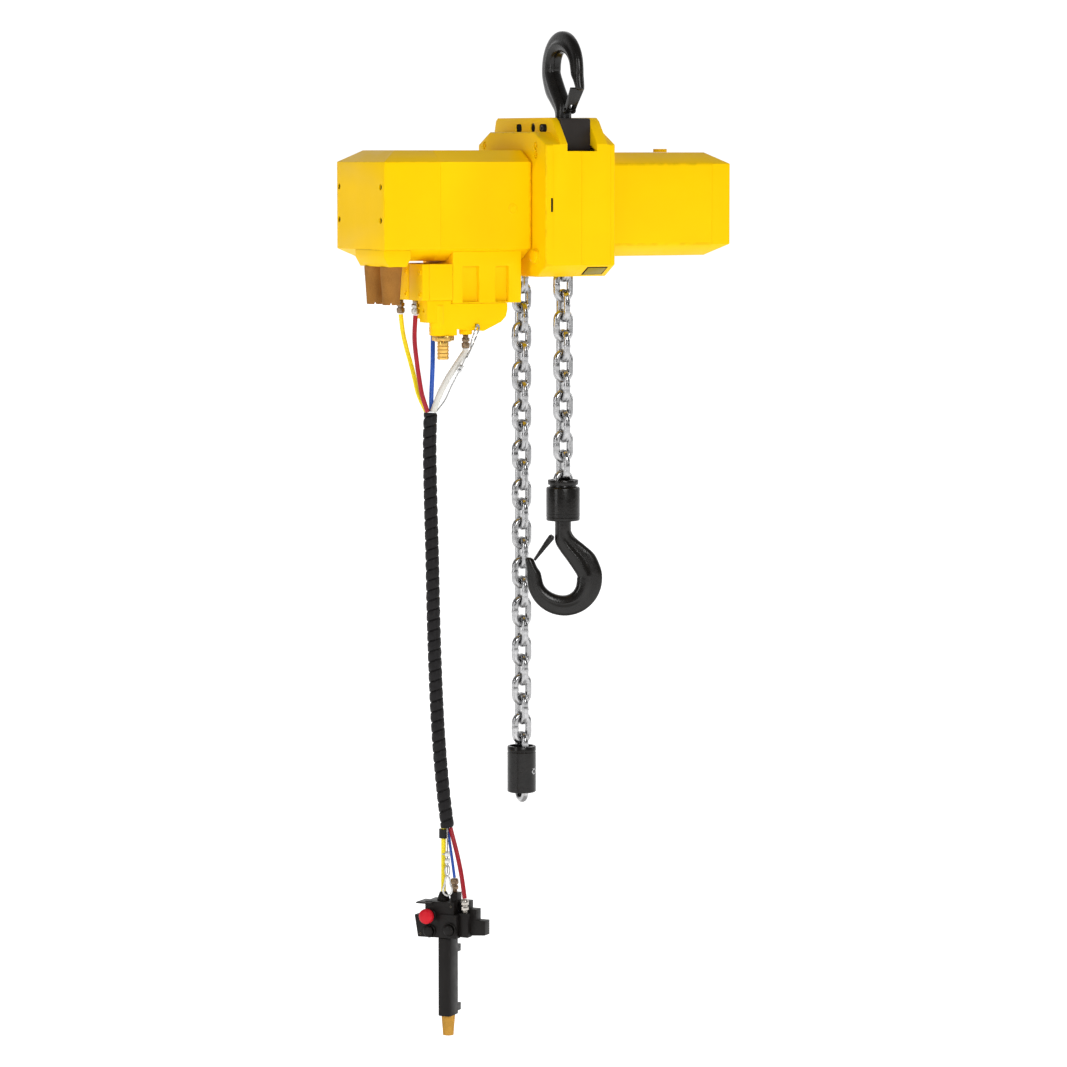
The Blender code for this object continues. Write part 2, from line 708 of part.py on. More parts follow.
def build_lower_casing():
    """Casing of the air inlet. It reaches up to the pilot blocks at one end, and has a narrow nose."""
    step = VALVE_X[0] - 0.0015
    top = VALVE_BOTTOM - 0.0005
    outline = [(-0.264, PILOT_BOTTOM - GAP), (-0.264, LOWER_BOTTOM), (-0.227, LOWER_BOTTOM),
               (-0.227, -0.504), (-0.172, -0.508), (-0.136, -0.492), (-0.126, -0.482), (-0.123, -0.470),
               (-0.123, top), (step, top), (step, PILOT_BOTTOM - GAP)]
    lower = add("valve_lower_casing", prism(outline, "Y", LOWER_FRONT, 0.075), yellow_paint())
    join(lower,
         box((-0.288, -0.260), (LOWER_FRONT, 0.018), (-0.491, PILOT_BOTTOM - GAP)),
         rod("Z", WHITE_PORT, WHITE_BOSS_BOTTOM, -0.480, 0.0115, 16))
    eye_x, _, eye_z = PENDANT_PIVOT
    cut(lower, box((-0.280, -0.215), (0.027, 0.10), (-0.53, POCKET_TOP)),
        rod("Y", (eye_x, eye_z), -0.03, 0.10, 0.0025, 8))


def build_inlet():
    barb = [(-0.559, 0.0104)]
    for rib in range(3):
        top = -0.551 + 0.008 * rib
        barb += [(top, 0.0112), (top, 0.0104)]
    barb.append((-0.524, 0.0104))
    inlet = add("inlet_barb", turned(barb, "Z", INLET_XY, 16), brass())
    nut = hexagon(0.036, INLET_XY, INLET_TURN)
    join(inlet, prism(nut, "Z", -0.5260, LOWER_BOTTOM - GAP))
    cut(inlet, rod("Z", INLET_XY, -0.57, -0.5300, 0.0070, 16))


def build_valve_gear():
    """Exhaust manifold with silencers, main valve casing, pilot blocks and hose fittings."""
    build_manifold(box_hull(MOTOR_HALF_HEIGHT, MOTOR_SEAM_X, MOTOR_END_X, GAP))

    casing = add("valve_casing", box(VALVE_X, (VALVE_FRONT, 0.105), (VALVE_BOTTOM, -0.350)), yellow_paint())
    panels = [box(x, (VALVE_FRONT - 0.01, VALVE_FRONT + 0.009), (-0.4545, -0.390))
              for x in ((-0.216, -0.183), (-0.149, -0.122))]
    cut(casing, prism(octagon(MOTOR_HALF_HEIGHT, -GAP), "X", -0.30, -0.05), *panels)
    build_lower_casing()

    for name, y in (("pilot_block_front", (VALVE_FRONT, 0.0380)), ("pilot_block_rear", (0.0410, 0.0940))):
        block = add(name, box(PILOT_X, y, (PILOT_BOTTOM, -0.385)), yellow_paint())
        cut(block, box((-0.2855, -0.2845), (y[0] - 0.01, y[0] + 0.0006), (-0.46, -0.38)))

    build_inlet()
    for name, at, top in (
        ("fitting_yellow", YELLOW_PORT, PILOT_BOTTOM),
        ("fitting_red", RED_UPPER_PORT, PILOT_BOTTOM),
        ("fitting_blue", BLUE_UPPER_PORT, POCKET_TOP),
        ("fitting_white", WHITE_PORT, WHITE_BOSS_BOTTOM),
    ):
        hose_fitting(name, *at, top)


def hose_fitting(name, x, y, top, joint=None, up=False):
    """Push-in fitting with a collar nut. It hangs below its port, or stands on it when up is true."""
    way = 1.0 if up else -1.0
    profile = [(0.0003, 0.0050), (0.007, 0.0050), (0.007, 0.0068), (0.0135, 0.0068), (0.0145, 0.0055),
               (0.0165, 0.0055), (0.0165, 0.0075), (0.0245, 0.0075), (FITTING_LENGTH, 0.0065)]
    placed = [(top + way * along, radius) for along, radius in profile]
    add(name, turned(placed if up else placed[::-1], "Z", (x, y), 12), nickel(), joint)


# ---- pendant ------------------------------------------------------------------------------
def pendant_place():
    move_there = Matrix.Translation((PENDANT_XY[0], PENDANT_XY[1], 0.0))
    return move_there @ Matrix.Rotation(PENDANT_TURN, 4, "Z")


def on_pendant(x, y):
    """World X and Y of a point given in the pendant's own turned frame."""
    point = pendant_place() @ Vector((x, y, 0.0))
    return point.x, point.y


def button(place, at, face, radius, neck, proud, dome):
    """Push button on the pendant's face, with its neck in the head. It slides along the face's normal."""
    cap = face - proud * 0.5
    profile = [(face + NECK_DEPTH, neck), (cap, neck), (cap, radius), (face - proud + dome, radius),
               (face - proud + dome * 0.3, radius * 0.75), (face - proud, radius * 0.35)]
    return move(turned(profile, "Y", at, 16), place)


def build_head(place, swing):
    low, high = HEAD_Z
    outline = [(-0.0515, low), (HEAD_HALF, low + 0.002), (HEAD_HALF, high), (-0.0363, high),
               (-0.0363, high - 0.026), (-0.0582, high - 0.027)]
    head = add("pendant_head", move(prism(outline, "Y", -HEAD_HALF, HEAD_HALF), place), black_plastic(),
               swing)
    join(head, move(box((-0.004, 0.0297), (RAISED_FACE, -0.0100), (low + 0.002, -1.583)), place),
         move(box((0.004, 0.018), (0.001, 0.020), (high - 0.004, TALL_TOP)), place))
    bores = ((STOP_AT, STOP_NECK, -HEAD_HALF), (UP_AT, BUTTON_NECK, RAISED_FACE),
             (DOWN_AT, BUTTON_NECK, -HEAD_HALF))
    cut(head, *[move(rod("Y", at, face - 0.01, face + BORE_DEPTH, neck + 0.0007, 16), place)
                for at, neck, face in bores])


def build_pendant(swing, stop_joint, up_joint, down_joint):
    place = pendant_place()
    low, high = HEAD_Z
    build_head(place, swing)

    side = HEAD_HALF + GAP
    outline = [(side, -1.6255), (0.0755, -1.6212), (0.0755, -1.5941), (0.0577, -1.5941), (0.0577, -1.574),
               (0.042, -1.574), (0.042, -1.5597), (side, -1.5597)]
    block = add("pendant_valve_block", move(prism(outline, "Y", 0.000, 0.020), place), black_plastic(), swing)
    join(block, move(box((0.030, 0.048), (-0.0155, 0.002), (low + 0.004, LEDGE_TOP)), place),
         move(box((side, 0.031), (-0.0090, 0.002), (low + 0.004, -1.596)), place))

    grip = prism(rounded(0.026, 0.040, 0.006, 2), "Z", GRIP_BOTTOM, low - GAP)
    grip = add("pendant_grip", move(grip, place), black_plastic(), swing)
    lugs = [move(box((-0.006, 0.006), (0.010, 0.042), (z - 0.007, z + 0.007)), place)
            for z in (-1.655, -1.766)]
    join(grip, *lugs)

    boot = [(high + GAP, 0.0120), (high + 0.004, 0.0116), (high + BOOT_HEIGHT, 0.0068)]
    add("pendant_hose_boot", turned(boot, "Z", on_pendant(*BOOT_AT), 16), black_plastic(), swing)
    tail = [(PENDANT_END, 0.0100), (GRIP_BOTTOM - GAP, 0.01275)]
    add("pendant_silencer", turned(tail, "Z", PENDANT_XY, 16), sintered_bronze(), swing)

    red = material("red_button", (0.62, 0.01, 0.02), 0.3)
    add("emergency_stop", button(place, STOP_AT, -HEAD_HALF, 0.0140, STOP_NECK, 0.024, 0.004), red,
        stop_joint)
    add("up_button", button(place, UP_AT, RAISED_FACE, 0.0100, BUTTON_NECK, 0.010, 0.004),
        black_plastic(), up_joint)
    add("down_button", button(place, DOWN_AT, -HEAD_HALF, 0.0100, BUTTON_NECK, 0.010, 0.004),
        black_plastic(), down_joint)

    hose_fitting("pendant_red_fitting", *on_pendant(*RED_PORT), LEDGE_TOP, swing, up=True)
    hose_fitting("pendant_blue_fitting", *on_pendant(*BLUE_PORT), TALL_TOP, swing, up=True)


# ---- hoses --------------------------------------------------------------------------------
# Route points, from the fittings under the valve to the sleeve, and down along the sleeve.
SLEEVE_ROUTE = [SLEEVE_TOP, (-0.2646, 0.0250, -0.7130), (-0.2635, 0.0250, -0.7960), (-0.2600, 0.0250, -0.9200),
                (-0.2573, 0.0250, -1.0450), (-0.2535, 0.0250, -1.1500), (-0.2495, 0.0250, -1.2280),
                (-0.2440, 0.0250, -1.3000), (-0.2375, 0.0250, -1.3630), SLEEVE_FOOT]
UPPER_ROUTES = {
    "yellow": [(-0.2925, 0.0858, -0.4785), (-0.2902, 0.0820, -0.5102), (-0.2872, 0.0740, -0.5388),
               (-0.2838, 0.0630, -0.5674), (-0.2812, 0.0520, -0.5958), (-0.2791, 0.0410, -0.6241),
               (-0.2680, 0.0319, -0.6550)],
    "red": [(-0.2925, 0.0263, -0.4785), (-0.2947, 0.0255, -0.5223), (-0.2904, 0.0245, -0.5655),
            (-0.2863, 0.0235, -0.5943), (-0.2810, 0.0228, -0.6231), (-0.2701, 0.0227, -0.6550)],
    "blue": [(-0.2446, 0.0500, -0.5135), (-0.2480, 0.0450, -0.5707), (-0.2547, 0.0370, -0.6251),
             (-0.2578, 0.0317, -0.6550)],
    "white": [(-0.2007, 0.0050, -0.5408), (-0.2012, 0.0050, -0.5460), (-0.2090, 0.0052, -0.5556),
              (-0.2229, 0.0065, -0.5749), (-0.2364, 0.0085, -0.5949), (-0.2504, 0.0130, -0.6234),
              (-0.2596, 0.0202, -0.6545)],
}
WIRE_UPPER = [(-0.1877, -0.0150, -0.4966), (-0.1939, -0.0150, -0.5119), (-0.2001, -0.0150, -0.5291),
              (-0.2003, -0.0130, -0.5410), (-0.2088, -0.0080, -0.5584), (-0.2155, -0.0030, -0.5761),
              (-0.2273, 0.0080, -0.6061), (-0.2371, 0.0170, -0.6337), (-0.2516, 0.0236, -0.6550)]


def smooth_route(points, spacing):
    """Points along a Catmull-Rom curve through the route, about `spacing` apart."""
    ends = [Vector(points[0]) * 2 - Vector(points[1])] + [Vector(p) for p in points]
    ends.append(ends[-1] * 2 - ends[-2])
    route = [ends[1]]
    for before, start, stop, after in zip(ends, ends[1:], ends[2:], ends[3:]):
        count = max(1, round((stop - start).length / spacing))
        for i in range(1, count + 1):
            t = i / count
            route.append(0.5 * (2 * start + (stop - before) * t
                                + (2 * before - 5 * start + 4 * stop - after) * t * t
                                + (3 * start - before - 3 * stop + after) * t * t * t))
    return route


def tube(name, points, diameter, look, joint=None):
    """Round cord on a smooth route, closed at both ends."""
    origin = Vector(joint.location) if joint else Vector()
    curve = bpy.data.curves.new(name, "CURVE")
    curve.dimensions = "3D"
    curve.bevel_depth = diameter / 2
    curve.bevel_resolution = 2
    curve.use_fill_caps = True
    route = smooth_route(points, max(diameter * 3, 0.012))
    spline = curve.splines.new("POLY")
    spline.points.add(len(route) - 1)
    for point, place in zip(spline.points, route):
        point.co = (*(place - origin), 1.0)
    spline.use_smooth = True
    curve.materials.append(look)
    made = bpy.data.objects.new(name, curve)
    bpy.context.scene.collection.objects.link(made)
    if joint:
        made.parent = joint
    return made


def lower_route(offset, shares, port, end):
    """From the sleeve's foot to a port: `shares` of the way across, each at its own height."""
    start = Vector(SLEEVE_FOOT) + Vector(offset)
    across = Vector((*on_pendant(*port), end))
    middle = [(*start.lerp(across, share).xy, height) for share, height in shares]
    return [start, *middle, across]


def build_hoses(swing):
    colours = {"yellow": (0.95, 0.75, 0.02), "red": (0.45, 0.02, 0.03), "blue": (0.03, 0.12, 0.55),
               "white": (0.80, 0.79, 0.76)}
    for name, route in UPPER_ROUTES.items():
        tube(f"hose_{name}_upper", route, UPPER_DIAMETERS[name], hose_material(f"hose_{name}", colours[name]))
    tube("strain_wire_upper", WIRE_UPPER, WIRE_DIAMETER, bright_steel())
    tube("hose_sleeve", SLEEVE_ROUTE, SLEEVE_DIAMETER, material("sleeve", (0.015, 0.015, 0.016), 0.6), swing)

    above = FITTING_LENGTH + GAP * 4
    lower = {
        "yellow": lower_route((-0.0062, 0.0033, -0.0024), [(0.5, -1.480)], BOOT_AT,
                              HEAD_Z[1] + BOOT_HEIGHT + GAP * 2),
        "blue": lower_route((0.0031, 0.0049, -0.0018), [(0.19, -1.4447), (0.57, -1.478)], BLUE_PORT,
                            TALL_TOP + above),
        "red": lower_route((0.0045, -0.0032, -0.0020), [(0.45, -1.470), (0.76, -1.509)], RED_PORT,
                           LEDGE_TOP + above),
    }
    for name, route in lower.items():
        tube(f"hose_{name}_lower", route, LOWER_DIAMETERS[name], hose_material(f"hose_{name}", colours[name]),
             swing)
    wire = lower_route((-0.0033, -0.0061, -0.0014), [(0.7, -1.470)], CLIP_AT, CLIP_Z[1] + 0.0020)
    tube("strain_wire_lower", wire, WIRE_DIAMETER, bright_steel(), swing)
    turn = Matrix.Rotation(LOAD_HOOK_TURN, 4, "Z")
    clip = snap_hook(Matrix.Translation((*on_pendant(*CLIP_AT), 0.0)) @ turn)
    add("snap_hook", clip, bright_steel(), swing)


def snap_hook(place):
    """Long ring of wire between the strain wire and the pendant's head."""
    bm = bmesh.new()
    wire, wide = 0.0019, 0.0080
    bottom, top = CLIP_Z
    middle_z = [(top - wide, 0.0), (bottom + wide, math.pi)]
    rings = []
    count = 6
    for centre_z, start in middle_z:
        for i in range(count + 1):
            turn = start + math.pi * i / count
            reach = Vector((math.cos(turn), 0.0, math.sin(turn)))
            middle = Vector((0.0, 0.0, centre_z)) + reach * wide
            ring = []
            for k in range(6):
                around = math.tau * k / 6
                ring.append(middle + reach * wire * math.cos(around)
                            + Vector((0.0, wire * math.sin(around), 0.0)))
            rings.append(add_ring(bm, ring))
    skin(bm, rings, closed=True)
    return move(tidy(bm), place)


def main():
    clear_scene()
    top_latch_at = latch_axis_point(top_hook_place())
    load_latch_at = latch_axis_point(load_hook_place())
    wheel_at = (0.0, WHEEL_Y, WHEEL_Z)
    build_casings()
    build_drive(pivot("load_wheel_axis", wheel_at), pivot("motor_axis", wheel_at))
    build_suspension(pivot("top_hook_axis", (0.0, 0.0, 0.0)), pivot("top_latch_axis", top_latch_at))
    build_load_side(pivot("load_line_axis", (0.0, 0.0, BLOCK_TOP)),
                    pivot("load_hook_axis", (0.0, 0.0, LOAD_HOOK_CENTRE_Z)),
                    pivot("load_latch_axis", load_latch_at))
    build_slack_side(pivot("slack_line_axis", (0.0, 2 * WHEEL_Y, STOP_Z[1])))
    build_valve_gear()
    swing = pivot("pendant_axis", PENDANT_PIVOT)
    buttons = [pivot(f"{name}_axis", (*on_pendant(across, face), height))
               for name, (across, height), face in (("stop", STOP_AT, -HEAD_HALF), ("up", UP_AT, RAISED_FACE),
                                                    ("down", DOWN_AT, -HEAD_HALF))]
    build_pendant(swing, *buttons)
    build_hoses(swing)
    bpy.context.view_layer.update()


main()
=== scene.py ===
"""Looks of the compressed-air chain hoist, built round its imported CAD.

Metres, in the frame of the CAD: the origin is the seat of the suspension hook, +X runs from the motor
to the gear end, +Y from the load strand to the slack strand, and +Z is up.
"""
from math import ceil, copysign, cos, exp, floor, hypot, pi, radians, sin, sqrt, tau

import bmesh
import bpy
from mathutils import Matrix, Vector
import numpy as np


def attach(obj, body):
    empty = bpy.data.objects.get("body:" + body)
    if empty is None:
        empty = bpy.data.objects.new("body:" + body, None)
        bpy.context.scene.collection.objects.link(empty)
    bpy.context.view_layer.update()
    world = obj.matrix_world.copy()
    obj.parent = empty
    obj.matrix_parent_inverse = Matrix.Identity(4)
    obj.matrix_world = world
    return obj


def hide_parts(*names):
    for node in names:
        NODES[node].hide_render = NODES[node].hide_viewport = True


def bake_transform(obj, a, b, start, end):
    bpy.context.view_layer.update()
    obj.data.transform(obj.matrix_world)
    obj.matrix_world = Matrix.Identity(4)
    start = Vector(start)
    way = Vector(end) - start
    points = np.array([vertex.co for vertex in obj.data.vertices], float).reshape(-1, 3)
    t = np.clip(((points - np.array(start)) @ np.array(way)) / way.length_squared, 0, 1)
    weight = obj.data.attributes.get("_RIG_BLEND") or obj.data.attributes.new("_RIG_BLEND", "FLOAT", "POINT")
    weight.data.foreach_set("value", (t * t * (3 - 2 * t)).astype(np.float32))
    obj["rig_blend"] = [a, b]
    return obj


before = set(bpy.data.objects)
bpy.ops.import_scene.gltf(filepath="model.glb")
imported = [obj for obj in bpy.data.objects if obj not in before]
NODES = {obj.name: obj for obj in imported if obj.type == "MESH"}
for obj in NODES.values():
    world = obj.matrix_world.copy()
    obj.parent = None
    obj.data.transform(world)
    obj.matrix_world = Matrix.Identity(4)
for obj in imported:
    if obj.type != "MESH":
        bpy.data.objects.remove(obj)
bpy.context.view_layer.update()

# ---- driving dimensions, as in the CAD
GAP = 0.0003
WHEEL_Y = 0.081
WHEEL_Z = -0.2795
MOTOR_FLANGE_X = -0.075
MOTOR_SEAM_X = -0.2645
MOTOR_END_X = -0.3785
GEAR_SEAM_X = 0.3065
GEAR_END_X = 0.3455
GEAR_HALF_HEIGHT = 0.096
BOX_FRONT = -0.021
CAST_FRONT = -0.07
HUMP_LEFT_X = -0.044
CAST_SEAM_X = 0.00015  # each half of the casting stops this far from the middle
CAST_SIDE_X = 0.0597
FLANGE_IN_X = -0.0594  # the motor flange starts inside the casting's rounded edge

CHAIN_WIRE = 0.013
CHAIN_WIDTH = 0.041
CHAIN_PITCH = 0.0371

HOOK_CENTRE_Z = -0.971
HOOK_TURN = radians(-28.5)
HOOK_SEAT = 0.032 * cos(radians(8.0))
LATCH_PIVOT = (-0.0225, 0.075)

PENDANT_XY = (-0.2286, 0.025)
PENDANT_TURN = radians(-53.5)
HEAD_FACE = -0.022
RAISED_FACE = -0.026
HEAD_TOP = -1.561
TALL_TOP = -1.5465
LEDGE_TOP = -1.5805
BOOT_HEIGHT = 0.016
FITTING_LENGTH = 0.026
BOOT_AT = (-0.0094, 0.0)  # across and deep on the pendant
RED_PORT = (0.0387, -0.009)
BLUE_PORT = (0.0085, 0.01)
CLIP_AT = (0.007, -0.0165)
CLIP_Z = (-1.551, -1.51)
STOP_AT = (-0.026, -1.5866)  # across and height
UP_AT = (0.0158, -1.6106)
DOWN_AT = (-0.0277, -1.6162)

SLEEVE = 0.025
WIRE = 0.0025

PILOT_BOTTOM = -0.451
POCKET_TOP = -0.4865
WHITE_BOSS_BOTTOM = -0.514
YELLOW_PORT = (-0.2925, 0.0858)
RED_UPPER_PORT = (-0.2925, 0.0263)
BLUE_UPPER_PORT = (-0.2446, 0.05)
WHITE_PORT = (-0.2007, 0.005)
INLET_XY = (-0.2472, 0.005)
WIRE_EYE = (-0.1877, -0.015, -0.4966)


def moved(x, y, z):
    return Matrix.Translation((x, y, z))


def show(name, data):
    made = bpy.data.objects.new(name, data)
    bpy.context.scene.collection.objects.link(made)
    return made


# ---- camera
CAMERA_YAW = radians(28.5)
CAMERA_PITCH = radians(5.258)
CAMERA_DISTANCE = 7.7
CAMERA_ASIDE = -0.0548
CAMERA_HEIGHT = -0.179
CAMERA_LENS = 140.6


def build_camera():
    """Camera a little left of the hoist and close to its height, looking slightly down."""
    ahead = Vector((sin(CAMERA_YAW), cos(CAMERA_YAW), 0.0))
    right = Vector((cos(CAMERA_YAW), -sin(CAMERA_YAW), 0.0))
    data = bpy.data.cameras.new("camera")
    data.lens = CAMERA_LENS
    data.sensor_width = 36.0
    data.clip_end = 200.0
    camera = show("camera", data)
    camera.location = right * CAMERA_ASIDE - ahead * CAMERA_DISTANCE + Vector((0.0, 0.0, CAMERA_HEIGHT))
    look = ahead * cos(CAMERA_PITCH) - Vector((0.0, 0.0, sin(CAMERA_PITCH)))
    camera.rotation_euler = look.to_track_quat("-Z", "Y").to_euler()
    bpy.context.scene.camera = camera


# ---- materials
def add_node(tree, kind, settings=None, **inputs):
    made = tree.nodes.new("ShaderNode" + kind)
    for key, value in (settings or {}).items():
        setattr(made, key, value)
    for key, value in inputs.items():
        put(tree, made.inputs[key.replace("_", " ")], value)
    return made


def put(tree, socket, value):
    """Links a socket to the input, or sets its value."""
    if isinstance(value, bpy.types.NodeSocket):
        tree.links.new(value, socket)
    else:
        socket.default_value = value


def mix_colour(tree, factor, first, second):
    mix = tree.nodes.new("ShaderNodeMix")
    mix.data_type = "RGBA"
    for index, value in ((0, factor), (6, first), (7, second)):
        put(tree, mix.inputs[index], value)
    return mix.outputs[2]


def rgba(colour, scale=1.0):
    return (*[min(1.0, c * scale) for c in colour], 1.0)


def noise(tree, place, scale, detail=3.0):
    return add_node(tree, "TexNoise", Vector=place, Scale=scale, Detail=detail).outputs["Fac"]


def spread(tree, value, low, high, start=0.3, stop=0.7):
    ranged = add_node(tree, "MapRange", Value=value, From_Min=start, From_Max=stop, To_Min=low, To_Max=high)
    return ranged.outputs["Result"]


class Surface:
    """A procedural material that is built up in steps: colour, speckle, edge tint (painted shade on the
    enamel), roughness, grain.
    """

    def __init__(self, name, colour, roughness, metallic=0.0, specular=0.5):
        self.material = bpy.data.materials.new(name)
        self.material.use_nodes = True
        self.tree = self.material.node_tree
        self.shader = self.tree.nodes["Principled BSDF"]
        self.place = add_node(self.tree, "TexCoord").outputs["Object"]
        self.colour = rgba(colour)
        self.base = colour
        self.roughness = roughness
        self.normal = None
        self.shader.inputs["Metallic"].default_value = metallic
        self.shader.inputs["Specular IOR Level"].default_value = specular
        self.shader.inputs["Roughness"].default_value = roughness

    def mottle(self, scale, amount):
        """Slow change of the colour over the surface."""
        share = spread(self.tree, noise(self.tree, self.place, scale), 0.0, 1.0)
        dark, light = rgba(self.base, 1.0 - amount), rgba(self.base, 1.0 + amount)
        self.colour = mix_colour(self.tree, share, dark, light)
        return self

    def speckle(self, scale, colour, most, start=0.55, stop=0.75):
        """Small grains of another colour."""
        share = spread(self.tree, noise(self.tree, self.place, scale, 2.0), 0.0, most, start, stop)
        self.colour = mix_colour(self.tree, share, self.colour, rgba(colour))
        return self

    def edge_tint(self, colour, most):
        """Strips of another colour along the rounded edges, which the meshes mark with a face attribute. A
        darker colour there, as on the enamel, is painted shade.
        """
        edge = add_node(self.tree, "Attribute", {"attribute_name": "edge"}).outputs["Fac"]
        patch = spread(self.tree, noise(self.tree, self.place, 60.0, 6.0), 0.0, most, 0.42, 0.62)
        share = add_node(self.tree, "Math", {"operation": "MULTIPLY"})
        put(self.tree, share.inputs[0], edge)
        put(self.tree, share.inputs[1], patch)
        self.colour = mix_colour(self.tree, share.outputs[0], self.colour, rgba(colour))
        return self

    def haze(self, scale, amount):
        """Uneven gloss."""
        low, high = self.roughness - amount, self.roughness + amount
        value = spread(self.tree, noise(self.tree, self.place, scale, 4.0), max(0.02, low), high)
        put(self.tree, self.shader.inputs["Roughness"], value)
        return self

    def grain(self, scale, strength, depth, kind="noise"):
        """Small relief: scale is in features per metre, and depth is in metres."""
        if kind == "noise":
            height = noise(self.tree, self.place, scale, 4.0)
        else:
            height = add_node(self.tree, "TexVoronoi", Vector=self.place, Scale=scale).outputs["Distance"]
        return self.relief(height, strength, depth)

    def brushed(self, across, strength, depth):
        """Fine turning or drawing lines along Z."""
        stretched = add_node(self.tree, "Mapping", Vector=self.place, Scale=(across, across, across * 0.03))
        return self.relief(noise(self.tree, stretched.outputs["Vector"], 1.0), strength, depth)

    def relief(self, height, strength, depth):
        bump = add_node(self.tree, "Bump", Strength=strength, Distance=depth, Height=height)
        if self.normal:
            put(self.tree, bump.inputs["Normal"], self.normal)
        self.normal = bump.outputs["Normal"]
        return self

    def done(self):
        put(self.tree, self.shader.inputs["Base Color"], self.colour)
        if self.normal:
            put(self.tree, self.shader.inputs["Normal"], self.normal)
        return self.material


def enamel(name, colour):
    """Two-pack machine enamel on cast metal, with a light orange peel."""
    made = Surface(name, colour, 0.4, specular=0.05).mottle(7.0, 0.035)
    # painted shade: the enamel turns darker in patches on its rounded edges
    made.edge_tint([c * 0.72 for c in colour], 0.55)
    return made.haze(26.0, 0.05).grain(420.0, 0.1, 0.0004).grain(45.0, 0.08, 0.0012).done()


def forged(name):
    """Black enamel on forged steel, glossy on an uneven skin."""
    made = Surface(name, (0.0065, 0.0056, 0.0048), 0.25, specular=0.32).mottle(40.0, 0.35)
    made.edge_tint((0.06, 0.052, 0.044), 0.7)
    return made.haze(70.0, 0.07).grain(160.0, 0.3, 0.0009).grain(900.0, 0.2, 0.0003).done()


def zinc(name, colour=(0.43, 0.43, 0.435), roughness=0.2):
    made = Surface(name, colour, roughness, 1.0).mottle(55.0, 0.1).speckle(300.0, (0.2, 0.19, 0.175), 0.5)
    return made.haze(90.0, 0.09).grain(240.0, 0.22, 0.0005).grain(1500.0, 0.12, 0.0002).done()


def machined(name, colour=(0.46, 0.46, 0.47)):
    made = Surface(name, colour, 0.3, 1.0).mottle(40.0, 0.06).haze(120.0, 0.08)
    return made.brushed(2600.0, 0.25, 0.0002).done()


def moulded(name, colour, roughness=0.42, fine=1100.0):
    """Moulded plastic with a fine spark texture."""
    made = Surface(name, colour, roughness, specular=0.17).mottle(35.0, 0.12)
    made.edge_tint([c * 2.2 + 0.01 for c in colour], 0.5)
    return made.haze(60.0, 0.07).grain(fine, 0.28, 0.0003).grain(120.0, 0.12, 0.0006).done()


def plated(name, colour, roughness=0.24):
    made = Surface(name, colour, roughness, 1.0).mottle(160.0, 0.12)
    made.speckle(500.0, [c * 0.5 for c in colour], 0.5)
    return made.haze(300.0, 0.08).brushed(3200.0, 0.18, 0.0001).done()


def sintered(name, colour):
    """Pressed bronze grains, dull and porous."""
    made = Surface(name, colour, 0.82, specular=0.1).mottle(30.0, 0.16)
    made.speckle(900.0, [c * 0.45 for c in colour], 0.75).speckle(1400.0, [c * 1.5 for c in colour], 0.6)
    return made.haze(200.0, 0.08).grain(1000.0, 0.75, 0.0006, "cells").grain(90.0, 0.2, 0.001).done()


def tubing(name, colour, roughness=0.34):
    made = Surface(name, colour, roughness, specular=0.3).mottle(30.0, 0.07).haze(80.0, 0.06)
    return made.grain(700.0, 0.1, 0.0002).grain(90.0, 0.06, 0.0005).done()


YELLOW = enamel("yellow_enamel", (0.94, 0.57, 0.001))
FORGED = forged("black_forged")
ZINC = zinc("chain_zinc")
STEEL = machined("turned_steel")
WIRE_STEEL = zinc("wire_rope", (0.42, 0.42, 0.41), 0.3)
DARK_STEEL = machined("dark_screw", (0.1, 0.09, 0.07))
PLASTIC = moulded("black_plastic", (0.01, 0.0085, 0.0078))
INSERT = moulded("charcoal_insert", (0.025, 0.021, 0.019), 0.5, 700.0)
TAPE = moulded("black_tape", (0.015, 0.015, 0.016), 0.55, 500.0)
WRAP = moulded("spiral_wrap", (0.009, 0.008, 0.0085), 0.48, 800.0)
NICKEL = plated("nickel_plate", (0.48, 0.45, 0.41))
BRONZED = plated("bronzed_nickel", (0.24, 0.17, 0.11), 0.3)
BRASS = plated("brass", (0.66, 0.4, 0.1), 0.2)
SINTERED = sintered("sintered_bronze", (0.34, 0.15, 0.032))
SINTERED_LIGHT = sintered("sintered_light", (0.6, 0.31, 0.055))
RED = moulded("red_button", (0.62, 0.01, 0.022), 0.34, 900.0)
PLATE = moulded("name_plate", (0.27, 0.2, 0.012), 0.4)
VOID = moulded("deep_shadow", (0.004, 0.004, 0.004), 0.8, 300.0)
FERRULE = plated("ferrule", (0.6, 0.6, 0.59), 0.3)
HOSES = {
    "yellow": tubing("hose_yellow", (0.96, 0.76, 0.01)),
    "red": tubing("hose_red", (0.34, 0.008, 0.018)),
    "blue": tubing("hose_blue", (0.02, 0.095, 0.5)),
    "white": tubing("hose_white", (0.64, 0.62, 0.57)),
}


# ---- mesh helpers
SMOOTH_BELOW = 35.0  # degrees between faces that shade as one surface
SOFT_ABOVE = 33.0  # degrees between faces whose edge is rounded
SAME_PLANE = 0.0008
THIN = 1e-5  # radius of a solid's point on its axis, and reach of the CAD's doubled points


def make(name, bm, look, body="frame", node=None, sharp=SMOOTH_BELOW):
    """Turns the mesh into a piece that rides on a body, in place of the CAD node if one is given."""
    bmesh.ops.recalc_face_normals(bm, faces=bm.faces)
    if "edge" not in bm.faces.layers.float:
        bm.faces.layers.float.new("edge")
    mesh = bpy.data.meshes.new(name)
    bm.to_mesh(mesh)
    bm.free()
    mesh.materials.append(look)
    mesh.shade_smooth()
    mesh.set_sharp_from_angle(angle=radians(sharp))
    made = show(name, mesh)
    if body:
        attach(made, body)
    if node:
        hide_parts(node)
    return made


